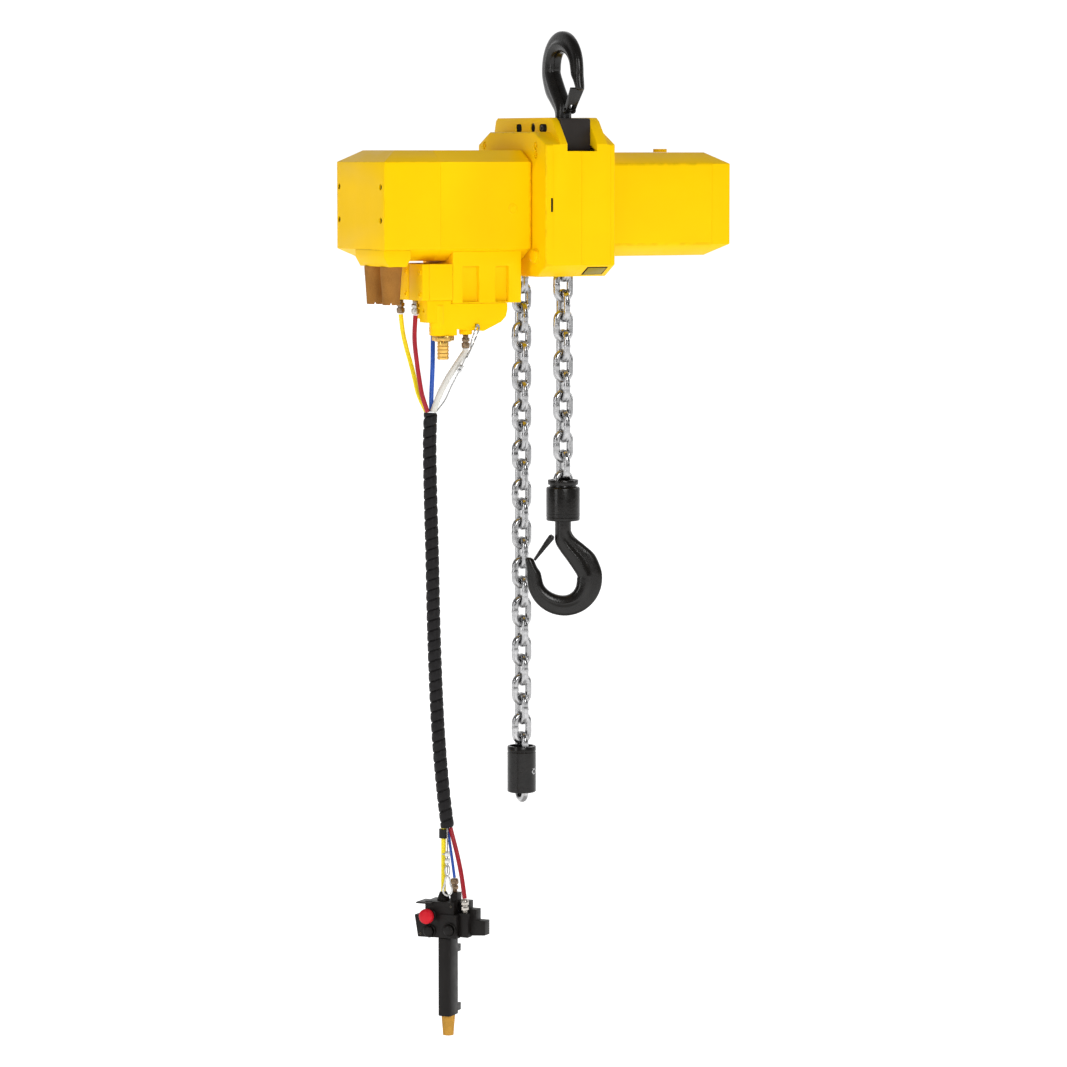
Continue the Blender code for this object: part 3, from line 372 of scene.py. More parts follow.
def loft(bm, rings, closed=False, capped=True):
    """Side faces between rings of points, closed into a loop or capped at both ends."""
    made = [[bm.verts.new(p) for p in ring] for ring in rings]
    pairs = list(zip(made, made[1:]))
    if closed:
        pairs.append((made[-1], made[0]))
    for low, high in pairs:
        count = len(low)
        for i in range(count):
            j = (i + 1) % count
            bm.faces.new((low[i], low[j], high[j], high[i]))
    if capped and not closed:
        bm.faces.new(made[0])
        bm.faces.new(made[-1])
    return bm


def arc(radius, count, centre=(0.0, 0.0), start=0.0):
    steps = [start + tau * i / count for i in range(count)]
    return [(centre[0] + radius * cos(a), centre[1] + radius * sin(a)) for a in steps]


def lay(axis, along, a, b):
    return {"X": (along, a, b), "Y": (a, along, b), "Z": (a, b, along)}[axis]


def turned(bm, profile, axis="Z", centre=(0.0, 0.0), count=32, ring=False, place=None):
    """Solid of revolution from (distance along the axis, radius) pairs."""
    place = place or Matrix()
    rings = []
    for along, radius in profile:
        ring_points = arc(max(radius, THIN), count, centre)
        rings.append([place @ Vector(lay(axis, along, a, b)) for a, b in ring_points])
    return loft(bm, rings, closed=ring)


def prism(bm, outline, axis, start, end, place=None):
    place = place or Matrix()
    return loft(bm, [[place @ Vector(lay(axis, at, a, b)) for a, b in outline] for at in (start, end)])


def box(bm, x, y, z, place=None):
    outline = [(x[0], y[0]), (x[1], y[0]), (x[1], y[1]), (x[0], y[1])]
    return prism(bm, outline, "Z", z[0], z[1], place)


def soften(bm, width, segments=3, angle=SOFT_ABOVE, skip=None):
    """Rounds the edges sharper than `angle`, and marks the new strips for the edge tint of the materials,
    which is painted shade on the enamel.
    """
    bmesh.ops.recalc_face_normals(bm, faces=bm.faces)
    layer = bm.faces.layers.float.get("edge") or bm.faces.layers.float.new("edge")
    chosen = [e for e in bm.edges if len(e.link_faces) == 2
              and e.calc_face_angle(0.0) > radians(angle) and not (skip and skip(e))]
    made = bmesh.ops.bevel(bm, geom=chosen, offset=width, offset_type="OFFSET", segments=segments,
                           profile=0.5, affect="EDGES", clamp_overlap=True)
    for face in made["faces"]:
        face[layer] = 1.0
    return bm


def on_plane(*places):
    """Picks the edges that lie at one of these X, such as the seam between two casings."""
    def chosen(edge):
        return any(all(abs(v.co.x - place) < SAME_PLANE for v in edge.verts) for place in places)
    return chosen


def from_node(node):
    """The CAD node's own mesh, with its triangles merged back into flat faces."""
    bm = bmesh.new()
    bm.from_mesh(NODES[node].data)
    bmesh.ops.remove_doubles(bm, verts=bm.verts, dist=THIN)
    bmesh.ops.dissolve_limit(bm, angle_limit=radians(1.0), verts=bm.verts, edges=bm.edges)
    return bm


def refined(node, look, width, body="frame", segments=3, skip=None, angle=SOFT_ABOVE):
    """A CAD piece with its edges rounded."""
    return make(f"{node}_skin", soften(from_node(node), width, segments, angle, skip), look, body, node)


def carve(piece, *cutters):
    """Cuts closed shapes out of a piece, and keeps the result as its mesh."""
    for bm in cutters:
        bmesh.ops.recalc_face_normals(bm, faces=bm.faces)
        mesh = bpy.data.meshes.new("cutter")
        bm.to_mesh(mesh)
        bm.free()
        tool = show("cutter", mesh)
        change = piece.modifiers.new("carve", "BOOLEAN")
        change.operation = "DIFFERENCE"
        change.object = tool
        change.solver = "EXACT"
        bpy.context.view_layer.update()
        cut = bpy.data.meshes.new_from_object(piece.evaluated_get(bpy.context.evaluated_depsgraph_get()))
        piece.modifiers.remove(change)
        piece.data = cut
        bpy.data.objects.remove(tool)
    return piece


def between(before, start, stop, after, t):
    """Catmull-Rom value between start and stop."""
    return 0.5 * (2 * start + (stop - before) * t + (2 * before - 5 * start + 4 * stop - after) * t * t
                  + (3 * start - before - 3 * stop + after) * t * t * t)


def smooth_route(points, spacing):
    """Points along a Catmull-Rom curve through the route, about `spacing` apart."""
    ends = [Vector(points[0]) * 2 - Vector(points[1])] + [Vector(p) for p in points]
    ends.append(ends[-1] * 2 - ends[-2])
    route = [ends[1]]
    for before, start, stop, after in zip(ends, ends[1:], ends[2:], ends[3:]):
        count = max(1, round((stop - start).length / spacing))
        for i in range(1, count + 1):
            route.append(between(before, start, stop, after, i / count))
    return route


def along_path(path, closed=False):
    """(point, side, up, distance) at each point of a path, with side and up square to it and not twisting."""
    found = []
    side = None
    distance = 0.0
    for i, point in enumerate(path):
        before = path[i - 1] if i or closed else point
        after = path[(i + 1) % len(path)] if i + 1 < len(path) or closed else point
        ahead = (after - before).normalized()
        if side is None:
            side = ahead.cross(Vector((0.31, 0.95, 0.05))).normalized()
        side = (side - ahead * side.dot(ahead)).normalized()
        if i:
            distance += (point - path[i - 1]).length
        found.append((point, side, ahead.cross(side), distance))
    return found


def swept(bm, path, radius, sides=12, closed=False):
    """Tube along a path. The radius may be a function of the distance and of the angle round it."""
    rings = []
    for point, side, up, distance in along_path(path, closed):
        ring = []
        for k in range(sides):
            turn = tau * k / sides
            reach = radius(distance, turn) if callable(radius) else radius
            ring.append(point + (side * cos(turn) + up * sin(turn)) * reach)
        rings.append(ring)
    return loft(bm, rings, closed=closed)


# ---- cords
UPPER_DIAMETERS = {"yellow": 0.0085, "red": 0.0085, "blue": 0.0085, "white": 0.0115}
LOWER_DIAMETERS = {"yellow": 0.009, "red": 0.0085, "blue": 0.0055}
SLEEVE_TOP = (-0.2626, 0.025, -0.657)
SLEEVE_FOOT = (-0.2297, 0.025, -1.423)
SLEEVE_ROUTE = [SLEEVE_TOP] + [(x, 0.025, z) for x, z in (
    (-0.2646, -0.713), (-0.2635, -0.796), (-0.26, -0.92), (-0.2573, -1.045), (-0.2535, -1.15),
    (-0.2495, -1.228), (-0.244, -1.3), (-0.2375, -1.363))] + [SLEEVE_FOOT]
UPPER_ROUTES = {
    "yellow": [(*YELLOW_PORT, -0.4785), (-0.2902, 0.082, -0.5102), (-0.2872, 0.074, -0.5388),
               (-0.2838, 0.063, -0.5674), (-0.2812, 0.052, -0.5958), (-0.2791, 0.041, -0.6241),
               (-0.268, 0.0319, -0.655)],
    "red": [(*RED_UPPER_PORT, -0.4785), (-0.2947, 0.0255, -0.5223), (-0.2904, 0.0245, -0.5655),
            (-0.2863, 0.0235, -0.5943), (-0.281, 0.0228, -0.6231), (-0.2701, 0.0227, -0.655)],
    "blue": [(*BLUE_UPPER_PORT, -0.5135), (-0.248, 0.045, -0.5707), (-0.2547, 0.037, -0.6251),
             (-0.2578, 0.0317, -0.655)],
    "white": [(*WHITE_PORT, -0.5408), (-0.2012, 0.005, -0.546), (-0.209, 0.0052, -0.5556),
              (-0.2229, 0.0065, -0.5749), (-0.2364, 0.0085, -0.5949), (-0.2504, 0.013, -0.6234),
              (-0.2596, 0.0202, -0.6545)],
}
WIRE_UPPER = [WIRE_EYE, (-0.1939, -0.015, -0.5119), (-0.2001, -0.015, -0.5291),
              (-0.2003, -0.013, -0.541), (-0.2088, -0.008, -0.5584), (-0.2155, -0.003, -0.5761),
              (-0.2273, 0.008, -0.6061), (-0.2371, 0.017, -0.6337), (-0.2516, 0.0236, -0.655)]
UPPER_LENGTHS = {"yellow": 0.188, "red": 0.18, "blue": 0.144, "white": 0.131}
WIRE_UPPER_LENGTH = 0.178
LOWER_LENGTHS = {"yellow": 0.119, "blue": 0.095, "red": 0.135}
WIRE_LOWER_LENGTH = 0.083
WRAP_PITCH = 0.0187
SWING_START_Z = -0.485
SWING_END_Z = -0.65


def pendant_place():
    return moved(*PENDANT_XY, 0.0) @ Matrix.Rotation(PENDANT_TURN, 4, "Z")


def on_pendant(x, y, z=0.0):
    """World point of a place given in the pendant's own turned frame."""
    return pendant_place() @ Vector((x, y, z))


def lower_route(offset, shares, port, end):
    """From the sleeve's foot to a port: `shares` of the way across, each at its own height."""
    start = Vector(SLEEVE_FOOT) + Vector(offset)
    across = on_pendant(*port, end)
    middle = [Vector((*start.lerp(across, share).xy, height)) for share, height in shares]
    return [start, *middle, across]


def lower_routes():
    above = FITTING_LENGTH + GAP * 4
    return {
        "yellow": lower_route((-0.0062, 0.0033, -0.0024), [(0.5, -1.48)], BOOT_AT,
                              HEAD_TOP + BOOT_HEIGHT + GAP * 2),
        "blue": lower_route((0.0031, 0.0049, -0.0018), [(0.19, -1.4447), (0.57, -1.478)], BLUE_PORT,
                            TALL_TOP + above),
        "red": lower_route((0.0045, -0.0032, -0.002), [(0.45, -1.47), (0.76, -1.509)], RED_PORT,
                           LEDGE_TOP + above),
    }


def swing_along(piece):
    """Lets a piece that runs from the casing to the sleeve bend as the pendant swings."""
    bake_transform(piece, "frame", "pendant", start=(0.0, 0.025, SWING_START_Z), end=(0.0, 0.025, SWING_END_Z))


def hose(name, route, diameter, look, sides=16, radius=None, spacing=0.004):
    """One free hose or wire, swept along its own route."""
    path = smooth_route(route, spacing)
    bm = swept(bmesh.new(), path, radius or diameter / 2, sides)
    upper = name.endswith("_upper")
    piece = make(name + "_run", bm, look, None if upper else "pendant", name)
    if upper:
        swing_along(piece)
    return piece


def wrap_radius(distance, turn):
    """Spiral wrap: one rounded strip, with a narrow groove between its turns."""
    phase = (distance / WRAP_PITCH - turn / tau) % 1.0
    from_seam = min(phase, 1.0 - phase)
    groove = 0.0021 * exp(-(from_seam / 0.055) ** 2)
    wave = 0.00025 * sin(distance * 410.0 + 2.0 * turn) * sin(distance * 97.0)
    return SLEEVE / 2 + 0.0002 - groove - 0.0007 * (2.0 * phase - 1.0) ** 2 + wave


def strand_radius(distance, turn):
    """Laid wire rope: six strands that wind round it."""
    return WIRE / 2 * (1.0 + 0.16 * cos(6.0 * turn - distance * 900.0))


def build_cords():
    hose("hose_sleeve", SLEEVE_ROUTE, SLEEVE, WRAP, 32, wrap_radius, 0.0012)
    wire_lower = lower_route((-0.0033, -0.0061, -0.0014), [(0.7, -1.47)], CLIP_AT, CLIP_Z[1] + 0.002)
    for end, routes, diameters, lengths, wire, wire_length in (
            ("upper", UPPER_ROUTES, UPPER_DIAMETERS, UPPER_LENGTHS, WIRE_UPPER, WIRE_UPPER_LENGTH),
            ("lower", lower_routes(), LOWER_DIAMETERS, LOWER_LENGTHS, wire_lower, WIRE_LOWER_LENGTH)):
        for colour, route in routes.items():
            hose(f"hose_{colour}_{end}", route, diameters[colour], HOSES[colour])
        hose(f"strain_wire_{end}", wire, WIRE, WIRE_STEEL, 24, strand_radius, 0.0012)


# ---- chain
def link_path(centre, along, across):
    """Middle line of one link: two straight sides joined by half circles."""
    bend = (CHAIN_WIDTH - CHAIN_WIRE) / 2
    half = (CHAIN_PITCH + CHAIN_WIRE) / 2 - bend
    path = []
    for end in (1, -1):
        for i in range(11):
            turn = pi * i / 10
            path.append(centre + along * end * (half + bend * sin(turn))
                        + across * end * bend * cos(turn))
    return path


def weld_radius(weld):
    """Wire of a link, with the ridge of its weld in the middle of one side."""
    def radius(distance, turn):
        from_weld = (distance - weld) / 0.0016
        return CHAIN_WIRE / 2 + 0.0007 * exp(-from_weld ** 2)
    return radius


def add_link(bm, centre, along, across):
    path = link_path(Vector(centre), Vector(along), Vector(across))
    fine = []
    for i, point in enumerate(path):
        fine.append(point)
        after = path[(i + 1) % len(path)]
        if (after - point).length > 0.01:
            fine += [point.lerp(after, share / 6) for share in range(1, 6)]
    bend = pi * (CHAIN_WIDTH - CHAIN_WIRE) / 2
    weld = bend + (CHAIN_PITCH + CHAIN_WIRE - CHAIN_WIDTH + CHAIN_WIRE) / 2
    swept(bm, fine, weld_radius(weld), 14, closed=True)


def strand(bm, y, wide_at, top, bottom):
    """Hanging links. One link in two is wide along X, and `wide_at` is the height of such a link."""
    first = floor((top - wide_at) / CHAIN_PITCH)
    last = ceil((bottom - wide_at) / CHAIN_PITCH)
    for index in range(last, first + 1):
        height = wide_at + index * CHAIN_PITCH
        across = (1, 0, 0) if index % 2 == 0 else (0, 1, 0)
        add_link(bm, (0.0, y, height), (0, 0, 1), across)
    return bm


def build_chain():
    half_link = (CHAIN_PITCH + 2 * CHAIN_WIRE) / 2
    load = strand(bmesh.new(), 0.0, -0.5766, -0.262 - half_link, -0.832 + half_link)
    make("load_chain_links", load, ZINC, "load_line", "load_chain", 60.0)
    slack = strand(bmesh.new(), 2 * WHEEL_Y, -0.8258, -0.275 - half_link, -1.418 + half_link)
    make("slack_chain_links", slack, ZINC, "slack_line", "slack_chain", 60.0)
    bm = bmesh.new()
    for index in range(7):
        turn = pi * (index + 0.5) / 7
        out = Vector((0.0, -cos(turn), sin(turn)))
        along = Vector((0.0, sin(turn), cos(turn)))
        across = (1, 0, 0) if index % 2 else out
        add_link(bm, Vector((0.0, WHEEL_Y, WHEEL_Z)) + out * WHEEL_Y, along, across)
    make("wheel_chain_links", bm, ZINC, "load_wheel", "wheel_chain", 60.0)


# ---- hooks
HOOK_PLACES = [
    (-0.015, 0.098, 0.015, 0.098, 0.015, 0.0),
    (-0.015, 0.086, 0.0158, 0.087, 0.015, 0.1),
    (-0.0146, 0.068, 0.023, 0.076, 0.0152, 0.5),
    (-0.007, 0.053, 0.041, 0.061, 0.0155, 0.9),
    (0.009, 0.031, 0.059, 0.044, 0.0156, 1.0),
]
HOOK_TIP = [
    (-0.0415, 0.011, -0.0672, 0.011, 0.0118, 0.5),
    (-0.048, 0.021, -0.0685, 0.021, 0.0102, 0.2),
    (-0.0532, 0.0325, -0.0705, 0.033, 0.0085, 0.0),
    (-0.0565, 0.037, -0.0698, 0.0372, 0.007, 0.0),
    (-0.06, 0.0388, -0.0665, 0.0388, 0.004, 0.0),
]


def hook_places(shank_top):
    """(inner x and z, outer x and z, half thickness, how much of the web shows) along the hook."""
    places = [(-0.015, shank_top, 0.015, shank_top, 0.015, 0.0)] + HOOK_PLACES
    for degrees in range(14, -180, -16):
        angle = radians(degrees)
        inner = 0.032 - 0.0065 * cos(angle) ** 3
        outer = 0.07 + 0.003 * cos(angle)
        past = max(0.0, (-degrees - 80.0) / 100.0)
        places.append((inner * cos(angle), inner * sin(angle), outer * cos(angle),
                       outer * sin(angle), 0.0156 - 0.0034 * past, 1.0 - 0.4 * past))
    return places + HOOK_TIP


def denser(places, steps):
    ends = [places[0]] + places + [places[-1]]
    found = [places[0]]
    for group in zip(ends, ends[1:], ends[2:], ends[3:]):
        for i in range(1, steps + 1):
            found.append(tuple(between(*values, i / steps) for values in zip(*group)))
    return found


def step_up(value, start, stop):
    t = min(1.0, max(0.0, (value - start) / (stop - start)))
    return t * t * (3 - 2 * t)


def build_hook(name, place, shank_top, node, body):
    """Forged hook: a round bead along the bowl, and a thinner web outside it."""
    bm = bmesh.new()
    rings = []
    sides = 40
    for in_x, in_z, out_x, out_z, thick, web in denser(hook_places(shank_top), 5):
        ring = []
        for k in range(sides):
            turn = tau * k / sides
            share = 0.5 - 0.5 * cos(turn)
            wave = sin(turn)
            body_of = copysign(abs(wave) ** (1.0 - 0.42 * web), wave)
            thin = 1.0 - 0.36 * web * step_up(share, 0.4, 0.56)
            point = Vector((in_x + (out_x - in_x) * share, thick * body_of * thin,
                            in_z + (out_z - in_z) * share))
            ring.append(place @ point)
        rings.append(ring)
    loft(bm, rings)
    return make(name, bm, FORGED, body, node, 50.0)


def build_latch(name, place):
    """Latch of pressed steel, the heads of its pin and the coil of its spring."""
    refined(name, FORGED, 0.0009, name)
    x, z = LATCH_PIVOT
    bm = bmesh.new()
    for side in (-1, 1):
        head = [(0.0094, 0.005), (0.0112, 0.005), (0.012, 0.0038), (0.0122, 0.0018)]
        turned(bm, [(side * along, radius) for along, radius in head], "Y", (x, z), 20, place=place)
    coil = []
    for a in [tau * i / 16 for i in range(65)]:
        turn = Vector((0.0041 * cos(a), 0.0058 + 0.0024 * a / tau - 0.0145, 0.0041 * sin(a)))
        coil.append(place @ (turn + Vector((x, 0.0, z))))
    swept(bm, coil, 0.0006, 8)
    make(f"{name}_rivets", bm, FORGED, name)


def build_hooks():
    load = moved(0.0, 0.0, HOOK_CENTRE_Z) @ Matrix.Rotation(HOOK_TURN, 4, "Z")
    turn = Matrix.Rotation(pi / 2, 4, "Z")
    top = moved(0.0, 0.0, -HOOK_SEAT) @ turn @ Matrix.Rotation(pi, 4, "X")
    build_hook("load_hook_forging", load, 0.146, "load_hook", "load_hook")
    build_hook("top_hook_forging", top, 0.16, "top_hook", "top_hook")
    build_latch("load_latch", load)
    build_latch("top_latch", top)
    build_hook_block()
    build_chain_stop()


def build_hook_block():
    """Collar that joins the chain to the load hook."""
    outside = [(-0.8497, 0.0245), (-0.8497, 0.03125), (-0.804, 0.03125), (-0.802, 0.0308), (-0.8008, 0.0295),
               (-0.8, 0.025), (-0.7968, 0.0245), (-0.7962, 0.0278), (-0.795, 0.0284), (-0.7885, 0.0284),
               (-0.7872, 0.0276), (-0.787, 0.024), (-0.7885, 0.0222), (-0.816, 0.0215), (-0.816, 0.0)]
    inside = [(-0.82, 0.0), (-0.82, 0.0245)]
    make("hook_block_turned", turned(bmesh.new(), outside + inside, count=56, ring=True), FORGED,
         "load_line", "hook_block")
    cap = [(-0.863, 0.0162), (-0.863, 0.0298), (-0.8618, 0.031), (-0.858, 0.03125), (-0.8574, 0.0306),
           (-0.8566, 0.0306), (-0.856, 0.03125), (-0.85, 0.03125), (-0.85, 0.0162)]
    make("hook_block_ring", turned(bmesh.new(), cap, count=56, ring=True), FORGED, "load_line",
         "hook_block_cap")
    bm = bmesh.new()
    for degrees in (61.5, 241.5):
        place = Matrix.Rotation(radians(degrees), 4, "Z")
        prism(bm, arc(0.0058, 6, (0.0, -0.7918)), "X", 0.027, 0.0312, place)
    make("hook_block_bolts", soften(bm, 0.0005, 2), FORGED, "load_line")


def build_chain_stop():
    y = 2 * WHEEL_Y
    profile = [(-1.393, 0.0222), (-1.393, 0.0258), (-1.3915, 0.02725), (-1.317, 0.02725), (-1.316, 0.0262),
               (-1.315, 0.0262), (-1.3142, 0.02725), (-1.3068, 0.02725), (-1.305, 0.0262), (-1.305, 0.0222)]
    make("chain_stop_turned", turned(bmesh.new(), profile, centre=(0.0, y), count=56, ring=True), FORGED,
         "slack_line", "chain_stop")
    middle = -1.352
    place = moved(0.0, y, middle) @ Matrix.Rotation(radians(-61.5), 4, "Z")
    bm = bmesh.new()
    head = [(0.0245, 0.0058), (0.0274, 0.0058), (0.028, 0.005), (0.028, 0.0034), (0.0262, 0.0033),
            (0.0262, 0.0)]
    turned(bm, head, "X", count=24, place=place)
    make("stop_screw_head", bm, ZINC, "slack_line", "stop_screw")


# ---- casings
def screws(name, places, radius, look=DARK_STEEL, proud=0.0, body="frame"):
    """Socket screws whose heads face along -X of their places."""
    profile = [(0.004, radius), (-proud + 0.0006, radius), (-proud, radius * 0.86), (-proud, radius * 0.52),
               (-proud + 0.003, radius * 0.5), (-proud + 0.003, 0.0)]
    bm = bmesh.new()
    for place in places:
        turned(bm, profile, "X", count=24, place=place)
    make(name, bm, look, body)


def hex_bolt(bm, place, across, height):
    prism(bm, arc(across / sqrt(3), 6, start=0.3), "X", 0.001, -height, place)
    washer = [(0.001, across * 0.66), (-0.0012, across * 0.66), (-0.0016, across * 0.62)]
    turned(bm, washer, "X", count=28, place=place)
    return bm


def bore(centre, start, end, radius):
    """Cutter along X."""
    return turned(bmesh.new(), [(start, radius), (end, radius)], "X", centre, 28)


def rounded_end(bm, x, width):
    """Rounds the outer edges of a box's end, but not the bore in it."""
    at_end = on_plane(x)

    def kept(edge):
        near_axis = any(hypot(v.co.y - WHEEL_Y, v.co.z - WHEEL_Z) < 0.04 for v in edge.verts)
        return near_axis or not at_end(edge)
    return soften(bm, width, 5, skip=kept)


def build_motor_box():
    bm = rounded_end(from_node("motor_housing"), MOTOR_FLANGE_X - GAP, 0.008)
    at_seam = on_plane(MOTOR_SEAM_X)
    near_flange = MOTOR_FLANGE_X - 0.012
    soften(bm, 0.0035, skip=lambda edge: at_seam(edge) or any(v.co.x > near_flange for v in edge.verts))
    make("motor_housing_skin", bm, YELLOW, "frame", "motor_housing")
    cover = refined("motor_end_cover", YELLOW, 0.0035, skip=on_plane(MOTOR_SEAM_X - GAP))
    wells = [(y, WHEEL_Z + rise) for y in (-0.0058, 0.165) for rise in (-0.026, 0.034)]
    carve(cover, *[bore(at, MOTOR_END_X - 0.01, MOTOR_END_X + 0.0042, 0.0056) for at in wells])
    screws("motor_end_screws", [moved(MOTOR_END_X + 0.0028, y, z) for y, z in wells], 0.0051)
    boss = [(0.001, 0.0098), (-0.0006, 0.0098), (-0.001, 0.0092), (-0.001, 0.008), (-0.0002, 0.0074),
            (-0.0002, 0.006), (-0.001, 0.0055), (-0.001, 0.0)]
    boss = [(BOX_FRONT + off, radius) for off, radius in boss]
    make("motor_boss", turned(bmesh.new(), boss, "Y", (-0.1163, -0.2862), 36), YELLOW)


def build_gear_box():
    refined("gear_housing", YELLOW, 0.0035, skip=on_plane(0.0703, GEAR_SEAM_X))
    refined("gear_end_cap", YELLOW, 0.0035, skip=on_plane(GEAR_SEAM_X + GAP))
    top = WHEEL_Z + GEAR_HALF_HEIGHT
    bm = bmesh.new()
    turned(bm, [(top + GAP, 0.0129), (top + 0.0058, 0.0129), (top + 0.0065, 0.0122), (top + 0.0065, 0.009),
                (top + 0.0052, 0.0086), (top + 0.0052, 0.0)], "Z", (0.246, 0.069), 36)
    make("oil_plug_turned", bm, YELLOW, "frame", "oil_plug")
    about = Matrix.Rotation(pi, 4, "Z")
    places = [moved(GEAR_END_X - 0.0006, y, WHEEL_Z + rise) @ about for y in (-0.0058, 0.158)
              for rise in (-0.03, 0.03)]
    screws("gear_end_screws", places, 0.0056, proud=0.0006)


def oblong(y_range, z_range, corner):
    """Outline of a hole with round corners, in Y and Z."""
    outline = []
    for k, (sy, sz) in enumerate(((1, 1), (-1, 1), (-1, -1), (1, -1))):
        y, z = y_range[sy > 0] - sy * corner, z_range[sz > 0] - sz * corner
        for i in range(7):
            turn = pi / 2 * (k + i / 6)
            outline.append((y + corner * cos(turn), z + corner * sin(turn)))
    return outline


def build_casting():
    left = refined("centre_housing_left", YELLOW, 0.003, skip=on_plane(-CAST_SEAM_X, -CAST_SIDE_X))
    refined("centre_housing_right", YELLOW, 0.003, skip=on_plane(CAST_SEAM_X, CAST_SIDE_X))
    bm = from_node("motor_flange")
    for vert in bm.verts:
        if vert.co.x > -0.061:
            vert.co.x = FLANGE_IN_X
    soften(bm, 0.003, skip=on_plane(FLANGE_IN_X))
    plate = make("motor_flange_skin", bm, YELLOW, "frame", "motor_flange")
    refined("gear_flange", YELLOW, 0.002, skip=on_plane(0.06))

    holes = ((-0.0175, 0.0135, -0.1465, -0.1315), (0.03, 0.044, -0.147, -0.132),
             (0.0795, 0.1025, -0.1475, -0.131))
    start, end = HUMP_LEFT_X - 0.01, HUMP_LEFT_X + 0.013
    cutters = [prism(bmesh.new(), oblong((y0, y1), (z0, z1), 0.0066), "X", start, end)
               for y0, y1, z0, z1 in holes]
    carve(left, *cutters)
    bm = bmesh.new()
    for y0, y1, z0, z1 in holes:
        prism(bm, oblong((y0 + 0.0003, y1 - 0.0003), (z0 + 0.0003, z1 - 0.0003), 0.0064), "X",
              HUMP_LEFT_X + 0.0014, HUMP_LEFT_X + 0.0128)
    box(bm, (-0.0638, -0.06), (CAST_FRONT + 0.0005, CAST_FRONT + 0.006), (-0.2912, -0.2662))
    make("casting_shadows", bm, VOID)

    slot = box(bmesh.new(), (-0.064, -0.0596), (CAST_FRONT - 0.01, CAST_FRONT + 0.0059), (-0.2914, -0.266))
    recesses = [(-0.0313, -0.1715), (-0.0322, -0.1875), (0.1676, -0.171)]
    face = MOTOR_FLANGE_X
    carve(plate, slot, *[bore(at, face - 0.01, face + 0.006, 0.0072) for at in recesses])
    screws("flange_screws", [moved(face + 0.001, y, z) for y, z in recesses], 0.006, YELLOW)
    screws("hump_screw", [moved(HUMP_LEFT_X + 0.0012, 0.004, -0.139)], 0.0062)
    bm = bmesh.new()
    for y, z in ((-0.0335, -0.3725), (0.156, -0.374)):
        hex_bolt(bm, moved(face, y, z), 0.022, 0.008)
    make("flange_bolts", soften(bm, 0.0006, 2, 40.0), YELLOW)
    insert = soften(from_node("suspension_bracket"), 0.003)
    make("suspension_insert", insert, INSERT, "frame", "suspension_bracket")
    build_plates()


def build_plates():
    """Blank data plate in its frame, on the lower bevel of the casting."""
    low, high = Vector((0.0, -0.034, -0.4105)), Vector((0.0, -0.07, -0.389))
    slope = (high - low).normalized()
    out = Vector((0.0, -abs(slope.z), -abs(slope.y)))
    middle = (low + high) / 2
    for name, look, half, wide, lift in (("data_plate_frame", VOID, 0.014, (0.0155, 0.0585), 0.0006),
                                         ("data_plate", PLATE, 0.0115, (0.018, 0.056), 0.0011)):
        corners = ((wide[0], -half), (wide[1], -half), (wide[1], half), (wide[0], half))
        rings = [[middle + Vector((x, 0.0, 0.0)) + slope * rise + out * off for x, rise in corners]
                 for off in (-0.0005, lift)]
        make(name, soften(loft(bmesh.new(), rings), 0.0003, 2), look)


# ---- valve gear
def build_silencer(name, centre, node):
    """Tapered cup of sintered bronze, with slots round its open foot."""
    sides = 72
    top, foot = -0.3893, -0.458
    rings = []
    profile = [(foot + 0.03, 0.01), (foot + 0.004, 0.0128), (foot, 0.0132), (foot, 0.0155),
               (foot + 0.0035, 0.0158), (foot + 0.02, 0.0168), (-0.405, 0.0191), (top, 0.02)]
    for height, radius in profile:
        ring = []
        for k in range(sides):
            turn = tau * k / sides
            slotted = k % 12 < 2 and height <= foot + 0.001
            ring.append((centre[0] + radius * cos(turn), centre[1] + radius * sin(turn),
                         height + (0.0042 if slotted else 0.0)))
        rings.append(ring)
    make(name, loft(bmesh.new(), rings), SINTERED, "frame", node)


def build_fitting(name, x, y, top, look, body="frame", up=False):
    """Hose fitting: threaded stub, hexagon, ring and knurled collar."""
    place = moved(x, y, top) @ Matrix.Diagonal((1.0, 1.0, 1.0 if up else -1.0, 1.0))
    bm = prism(bmesh.new(), arc(0.0078, 6, start=0.25), "Z", 0.0062, 0.0128, place)
    soften(bm, 0.0006, 2, 40.0)
    turned(bm, [(0.0003, 0.0052), (0.0012, 0.0056), (0.002, 0.005), (0.0028, 0.0056), (0.0036, 0.005),
                (0.0044, 0.0054), (0.007, 0.0048)], count=24, place=place)
    sides = 36
    rings = []
    collar = ((0.0126, 0.0054), (0.015, 0.0052), (0.0154, 0.0066), (0.0162, 0.0073), (0.02, 0.0074),
              (0.024, 0.0072), (0.0252, 0.0064), (0.026, 0.0052))
    for along, radius in collar:
        grip = 0.0003 if 0.016 < along < 0.0235 else 0.0
        turns = [(radius + grip * (k % 2), tau * k / sides) for k in range(sides)]
        rings.append([place @ Vector((reach * cos(turn), reach * sin(turn), along))
                      for reach, turn in turns])
    make(name + "_turned", loft(bm, rings), look, body, name)


